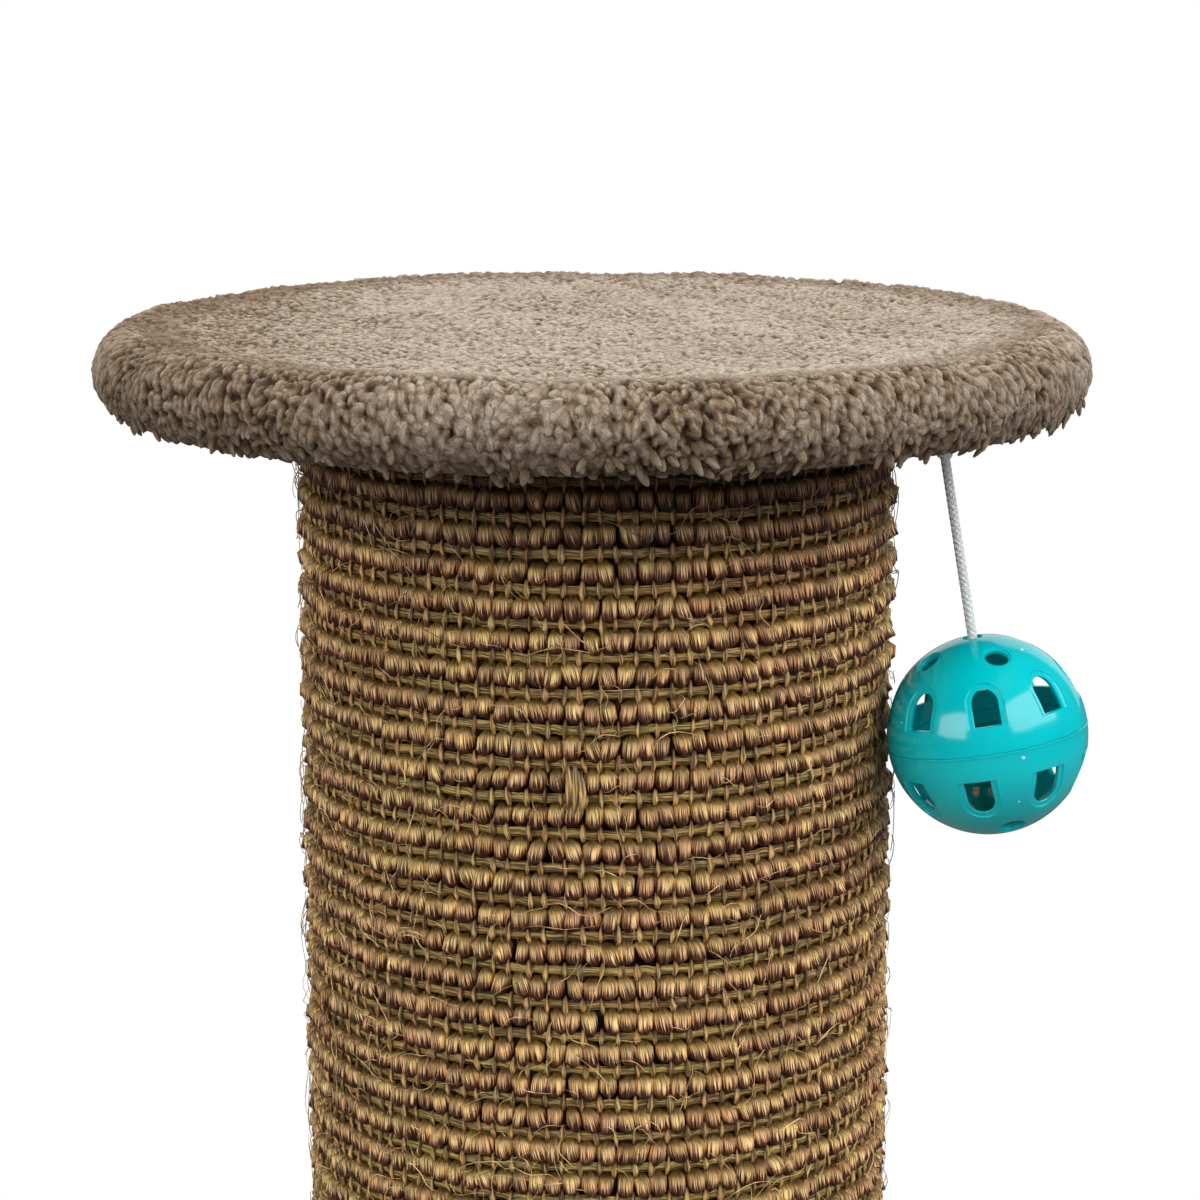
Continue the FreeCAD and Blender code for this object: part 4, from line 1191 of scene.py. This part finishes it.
def holeEdge(grow, radius):
    # once round a round hole, from its lower left, with each quarter turn facing a patch's side
    quarters = [(-0.75, "across"), (-0.25, "holeRows"), (0.25, "across"), (0.75, "holeRows")]
    spin = [evenSteps(start, start + 0.5, ball[points]) for start, points in quarters]
    spin = np.concatenate(spin) * math.pi
    opening = ball["holeRadius"] + grow
    latitude = math.radians(ball["holeLatitude"])
    middle = np.array([math.cos(latitude), 0, math.sin(latitude)])
    upwards = np.array([-math.sin(latitude), 0, math.cos(latitude)])
    side = np.array([0, 1.0, 0])
    circle = np.cos(spin)[:, None] * side + np.sin(spin)[:, None] * upwards
    return middle * math.sqrt(radius ** 2 - opening ** 2) + opening * circle


def holedPatch(edge, opening, recess, depth):
    # Rings of points from a patch's edge in to an opening, down the recess round it, through the
    # wall, and out again on the inside. Between edge and opening the angles are mixed evenly.
    outer, inner = ball["radius"], ball["radius"] - ball["wall"]

    def between(rim, shares, radius):
        for share in shares:
            at = edge * (1 - share) + sphereAngles(rim) * share
            yield onSphere(at[:, 0], at[:, 1], radius)

    rows = list(between(opening(recess, outer), ball["outsideRings"], outer))
    rows += [opening(recess * share, outer - depth * sunk) for share, sunk in ball["recessRings"]]
    rows += [opening(0, inner + 0.1), opening(0.06, inner)]
    rows += between(opening(0.06, inner), ball["insideRings"], inner)
    return np.array(rows)


def collarSection():
    # the collar round the pole hole: from the patches outside, over the hole's edge, to the
    # patches inside, as distances from the axis and heights
    outer, inner = ball["radius"], ball["radius"] - ball["wall"]
    hole, start = ball["poleHole"], math.radians(ball["holeTop"])
    outside, inside = math.acos(hole / outer), math.acos(hole / inner)
    rise, fall = np.linspace(start, outside - 0.012, 7), np.linspace(inside, start, 5)
    radii = np.concatenate([outer * np.cos(rise), [hole, hole], inner * np.cos(fall)])
    edge = [outer * math.sin(outside) - 0.15, inner * math.sin(inside) + 0.1]
    return radii, np.concatenate([outer * np.sin(rise), edge, inner * np.sin(fall)])


def seamSection(upper):
    # the edge at the seam, from the patches outside to the patches inside: a rounded edge and a
    # locating lip on the upper half, a fine ridge on the lower one
    outer, inner = ball["radius"], ball["radius"] - ball["wall"]
    band, ridge = math.radians(ball["bandTop"]), ball["ridge"]
    lip, lipIn = inner - ball["lipOuter"], inner - ball["lipInner"]
    if upper:
        edge = [(outer, 0.22), (outer - 0.03, 0.08), (outer - 0.14, 0.0), (inner + 0.2, 0.0), (lip, 0.0),
                (lip, -ball["lipDepth"]), (lipIn, -ball["lipDepth"]), (lipIn, ball["lipRoot"]),
                (inner - 0.2, ball["lipRoot"])]
    else:
        edge = [(outer + 0.01, 0.5), (outer + ridge * 0.7, 0.42), (outer + ridge, 0.28),
                (outer + ridge * 0.8, 0.1), (outer + 0.02, 0.03), (inner + 0.05, 0.03), (inner, 0.1)]
    ends = [(radius * math.cos(band), radius * math.sin(band)) for radius in (outer, inner)]
    return np.array([ends[0], *edge, ends[1]]).T


def turned(points, angle):
    c, s = math.cos(angle), math.sin(angle)
    return points @ np.array([[c, s, 0], [-s, c, 0], [0, 0, 1.0]])


def ballHalf(name, node, upper, turn, material):
    # Half a hollow ball in its own frame, pole up: patches with a window, above them patches with
    # and without a round hole, a collar round the pole hole, and the seam's edge at the equator.
    across = ball["across"]
    points, faces, count = [], [], 0

    def keep(rows, closed=True):
        nonlocal count
        faces.append(gridFaces(*rows.shape[:2], closed)[0] + count)
        points.append(rows.reshape(-1, 3))
        count += rows.shape[0] * rows.shape[1]

    windowPatch = holedPatch(patchEdge(ball["bandTop"], ball["windowTop"], across, ball["windowRows"]),
                             windowEdge, ball["recessWidth"], ball["recessDepth"])
    holePatch = holedPatch(patchEdge(ball["windowTop"], ball["holeTop"], across, ball["holeRows"]),
                           holeEdge, ball["holeRecess"], ball["holeRecessDepth"])
    azimuth = np.linspace(-ballWindow / 2, ballWindow / 2, across + 1)
    latitude = np.radians(np.linspace(ball["windowTop"], ball["holeTop"], ball["holeRows"] + 1))
    for index in range(ball["windows"]):
        keep(turned(windowPatch, ballWindow * index))
        if index % 2:
            for radius in (ball["radius"], ball["radius"] - ball["wall"]):
                plain = onSphere(azimuth[None], latitude[:, None], radius)
                keep(turned(plain, ballWindow * (index + 0.5)), False)
        else:
            keep(turned(holePatch, ballWindow * (index + 0.5)))
    full = np.arange(across * ball["windows"]) * ballWindow / across
    for radii, levels in (collarSection(), seamSection(upper)):
        keep(aroundPost(full[None], radii[:, None], levels[:, None]))
    points = np.concatenate(points)
    if not upper:
        points = turned(points * np.array([1.0, -1.0, -1.0]), ballWindow)
    points = turned(points, math.radians(turn))
    outwards = unit(np.cross(-swingAxis, hangAxis))
    points = ballMiddle + points @ np.stack([outwards, np.cross(hangAxis, outwards), hangAxis])
    piece = buildMesh(name, points, np.concatenate(faces), "ball", material)
    sealMesh(piece, ball["sharpAngle"])
    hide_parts(node)


def ballPips(name, material):
    # low mounds on the ball's front: each is a flattened grain whose middle lies on the sphere
    across, up, size = np.array(ball["pips"]).T
    look = unit(ballMiddle - np.array(view["place"]) * 1000)
    side = unit(np.cross(look, [0, 0, 1.0]))
    high = np.cross(side, look)
    depth = np.sqrt(ball["radius"] ** 2 - across ** 2 - up ** 2)
    normal = (across[:, None] * side + up[:, None] * high - depth[:, None] * look) / ball["radius"]
    flank = unit(np.cross(normal, high))
    rise = np.cross(flank, normal)
    turn = roundTurn(8)
    ring = np.cos(turn)[:, None] * flank[:, None] + np.sin(turn)[:, None] * rise[:, None]
    reach = size[:, None, None, None] * np.array([1.1, 1.0, 0.6])[:, None, None]
    level = size[:, None, None, None] * np.array([-0.3, 0.12, 0.3])[:, None, None]
    middle = ballMiddle + normal * ball["radius"]
    rings = middle[:, None, None] + ring[:, None] * reach + normal[:, None, None] * level
    ends = np.stack([middle - normal * 0.5 * size[:, None], middle + normal * 0.4 * size[:, None]], axis=1)
    sealMesh(grains(name, rings, ends, "ball", material, {}))


ballFinish = ballMaterial()
pipFinish, _, _ = newMaterial("ball_pips", Roughness=0.3, Base_Color=srgb(190, 232, 234))
ballHalf("ball_shell_upper", "ball_upper", True, ball["upperTurn"], ballFinish)
ballHalf("ball_shell_lower", "ball_lower", False, ball["lowerTurn"], ballFinish)
ballPips("ball_pips", pipFinish)
print("ball: two halves and pips")

# The felt discs on the undersides of both boards.

felt = {
    "rings": 18, "columns": 192,
    "skin": 0.06,              # the dressed disc lies this far inside the plain one
    "wave": 0.05,
    "fray": 0.35,
}
feltFinish = noiseMaterial("black_felt", (1400.0, 4.0, 0.7), (24, 24, 25), (54, 54, 56), 0.0002,
                           Roughness=0.95, Sheen_Weight=0.3)


def feltDisc(name, node, hole):
    # a thin disc of felt: rings from the hole to the edge on top and back below, waved slightly,
    # with a frayed edge
    low, high = boxOf(node)
    edge = high[0] - 0.1
    out = np.linspace(hole, edge, felt["rings"])
    radii = np.concatenate([out, out[::-1], out[:1]])[:, None]
    top, bottom = high[2] - felt["skin"], low[2] + felt["skin"]
    levels = np.repeat([top, bottom, top], [felt["rings"], felt["rings"], 1])[:, None]
    points = aroundPost(roundTurn(felt["columns"])[None], radii, levels)
    fray = felt["fray"] * ripples(points, 9, 71) * (radii > edge - 1)
    points[..., :2] *= 1 + fray[..., None] / edge
    points[..., 2] += felt["wave"] * ripples(points * np.array([1, 1, 0]), 30, 72)
    piece = buildGrid(name, points, feltFinish)
    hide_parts(node)


feltDisc("platform_felt", "top_lining", 4.25)
feltDisc("base_felt", "base_lining", 20.0)
print("felt: two linings")

# The model's own pieces keep their shapes and get a finish each.


def metal(name, dark, pale, roughness):
    # rolled or drawn metal: fine scratches and slightly uneven gloss
    material, tree, shader = newMaterial(name, Metallic=1.0)
    spots = cloud(tree, place(tree), 300.0, 4.0, 0.6)
    paint(tree, shader, shades(tree, spots, [(0.3, srgb(*dark)), (0.7, srgb(*pale))]))
    gloss = stretchTo(tree, spots, 0.3, 0.7, roughness - 0.06, roughness + 0.08)
    tree.links.new(gloss, shader.inputs["Roughness"])
    bumped(tree, shader, cloud(tree, place(tree), 1500.0, 2.0), 0.00002)
    return material


speckle = (5.0, 0.65)              # detail and roughness of the noise in board and rubber
speckleSpread = (0.32, 0.68)
grainNoise = (1.0, 5.0, 0.6)       # scale, detail and roughness of the noise along layers
ownFinishes = [
    (["base_board", "top_board"],
     noiseMaterial("fibreboard", (900.0, *speckle), (140, 108, 74), (182, 150, 110), 0.0002, speckleSpread,
                   Roughness=0.8)),
    (["lower_plug", "upper_plug"],
     noiseMaterial("plywood", grainNoise, (170, 132, 88), (212, 178, 132), 0.0003, stretch=(40, 500, 900),
                   Roughness=0.7)),
    (["core_tube"],
     noiseMaterial("kraft_card", grainNoise, (150, 116, 78), (184, 150, 108), 0.0003, stretch=(60, 60, 700),
                   Roughness=0.85)),
    (["base_pads"],
     noiseMaterial("rubber", (1200.0, *speckle), (26, 26, 27), (44, 44, 46), 0.00015, speckleSpread,
                   Roughness=0.7)),
    (["base_bolt", "base_washer", "lower_plug_nut", "upper_plug_nut", "top_stud", "top_board_nut"],
     metal("zinc_plate", (176, 178, 176), (206, 208, 204), 0.34)),
    (["base_staples", "top_staples", "screw_eye", "bell_pellet"],
     metal("drawn_steel", (160, 160, 160), (196, 196, 196), 0.28)),
    (["bell"], metal("bell_plate", (206, 200, 184), (228, 222, 206), 0.16)),
]
for names, finish in ownFinishes:
    for name in names:
        node = frame["nodes"][name]
        if not node.material_slots:
            node.data.materials.append(finish)
        for materialSlot in node.material_slots:
            materialSlot.material = finish
print("model's own pieces: finished")

# The stage: a floor, a white room and three softboxes.

stage = {
    "floorSize": 30.0,
    "floorGrey": 0.9,
    "floorBounce": 0.18,
    "shadowFade": (0.2, 0.8),  # from where to where the floor fades to white, in metres
    "shadowFloor": 0.25,       # how white it glows near the post
    "skyLight": 0.38,          # the sky as a lamp; rays from the camera see it as white
    "glossyFront": 0.07,       # what gloss mirrors of the room in front
    "glossyBehind": 1.0,       # and of the white backdrop behind the post
    "backdropEdge": 0.73,      # how squarely a ray must point away to meet the backdrop
    "lamps": {
        "key_softbox": {"place": (1.16, -0.80, 1.32), "size": (1.9, 1.0), "power": 22.5},
        "fill_softbox": {"place": (-1.04, -1.04, 0.97), "size": (0.95, 0.77), "power": 10.0},
    },
    "overhead": {"place": (-0.05, -0.25, 1.95), "size": (1.3, 1.3), "power": 17.8},
    "overheadAim": (0, 0, 0.5),
}


def studioWorld():
    # The camera sees white. Gloss mirrors a dark room in front and a white backdrop behind, and
    # all other rays meet an even sky.
    world = bpy.data.worlds.new("studio")
    world.use_nodes = True
    tree = world.node_tree
    path = addNode(tree, "LightPath")
    ahead = addNode(tree, "SeparateXYZ", {0: addNode(tree, "TexCoord").outputs["Generated"]}).outputs[1]
    edge = stage["backdropEdge"]
    gloss = stretchTo(tree, ahead, edge - 0.03, edge + 0.03, stage["glossyFront"], stage["glossyBehind"])
    shiny = maths(tree, "MAXIMUM", path.outputs["Is Glossy Ray"], path.outputs["Is Transmission Ray"])
    level = addNode(tree, "Mix", {0: shiny, 2: stage["skyLight"], 3: gloss}).outputs[0]
    level = addNode(tree, "Mix", {0: path.outputs["Is Camera Ray"], 2: level, 3: 1.0}).outputs[0]
    background = tree.nodes["Background"]
    background.inputs["Color"].default_value = (1, 1, 1, 1)
    tree.links.new(level, background.inputs["Strength"])
    return world


def floorMaterial():
    # Pale floor. The camera sees it with its shadow near the post, and fading to the white
    # background further out; to other rays it is a greyer floor that throws less light back.
    pale, bounce = stage["floorGrey"], stage["floorBounce"]
    material, tree, shader = newMaterial("floor", Roughness=0.9, Specular_IOR_Level=0.1,
                                         Base_Color=(pale, pale, pale, 1))
    path = addNode(tree, "LightPath")
    far = addNode(tree, "VectorMath", {0: place(tree)}, operation="LENGTH").outputs["Value"]
    fade = stretchTo(tree, far, *stage["shadowFade"], stage["shadowFloor"], 1.0)
    glow = addNode(tree, "Emission", {"Color": (1, 1, 1, 1), "Strength": 1.0}).outputs[0]
    seen = addNode(tree, "MixShader", {0: fade, 1: shader.outputs[0], 2: glow}).outputs[0]
    grey = addNode(tree, "BsdfDiffuse", {"Color": (bounce, bounce, bounce, 1)}).outputs[0]
    final = addNode(tree, "MixShader", {0: path.outputs["Is Camera Ray"], 1: grey, 2: seen}).outputs[0]
    tree.links.new(final, tree.nodes["Material Output"].inputs["Surface"])
    return material


def softbox(name, lamp, aimAt):
    light = bpy.data.lights.new(name, "AREA")
    light.shape = "RECTANGLE"
    light.size, light.size_y = lamp["size"]
    light.energy = lamp["power"]
    holder = addObject(name, light)
    holder.location = lamp["place"]
    aim = np.array(lamp["place"]) - aimAt
    holder.rotation_euler = (math.atan2(math.hypot(aim[0], aim[1]), aim[2]), 0, math.atan2(aim[0], -aim[1]))
    return holder


bpy.context.scene.world = studioWorld()
reach = stage["floorSize"]
floorMesh = bpy.data.meshes.new("floor")
floorMesh.from_pydata([(-reach, -reach, 0), (reach, -reach, 0), (reach, reach, 0), (-reach, reach, 0)], [],
                      [(0, 1, 2, 3)])
floorMesh.materials.append(floorMaterial())
floor = addObject("floor", floorMesh)
for lampName, lamp in stage["lamps"].items():
    softbox(lampName, lamp, ballMiddle / 1000)
softbox("overhead_softbox", stage["overhead"], np.array(stage["overheadAim"])).visible_glossy = False
print("stage: floor, sky and softboxes")
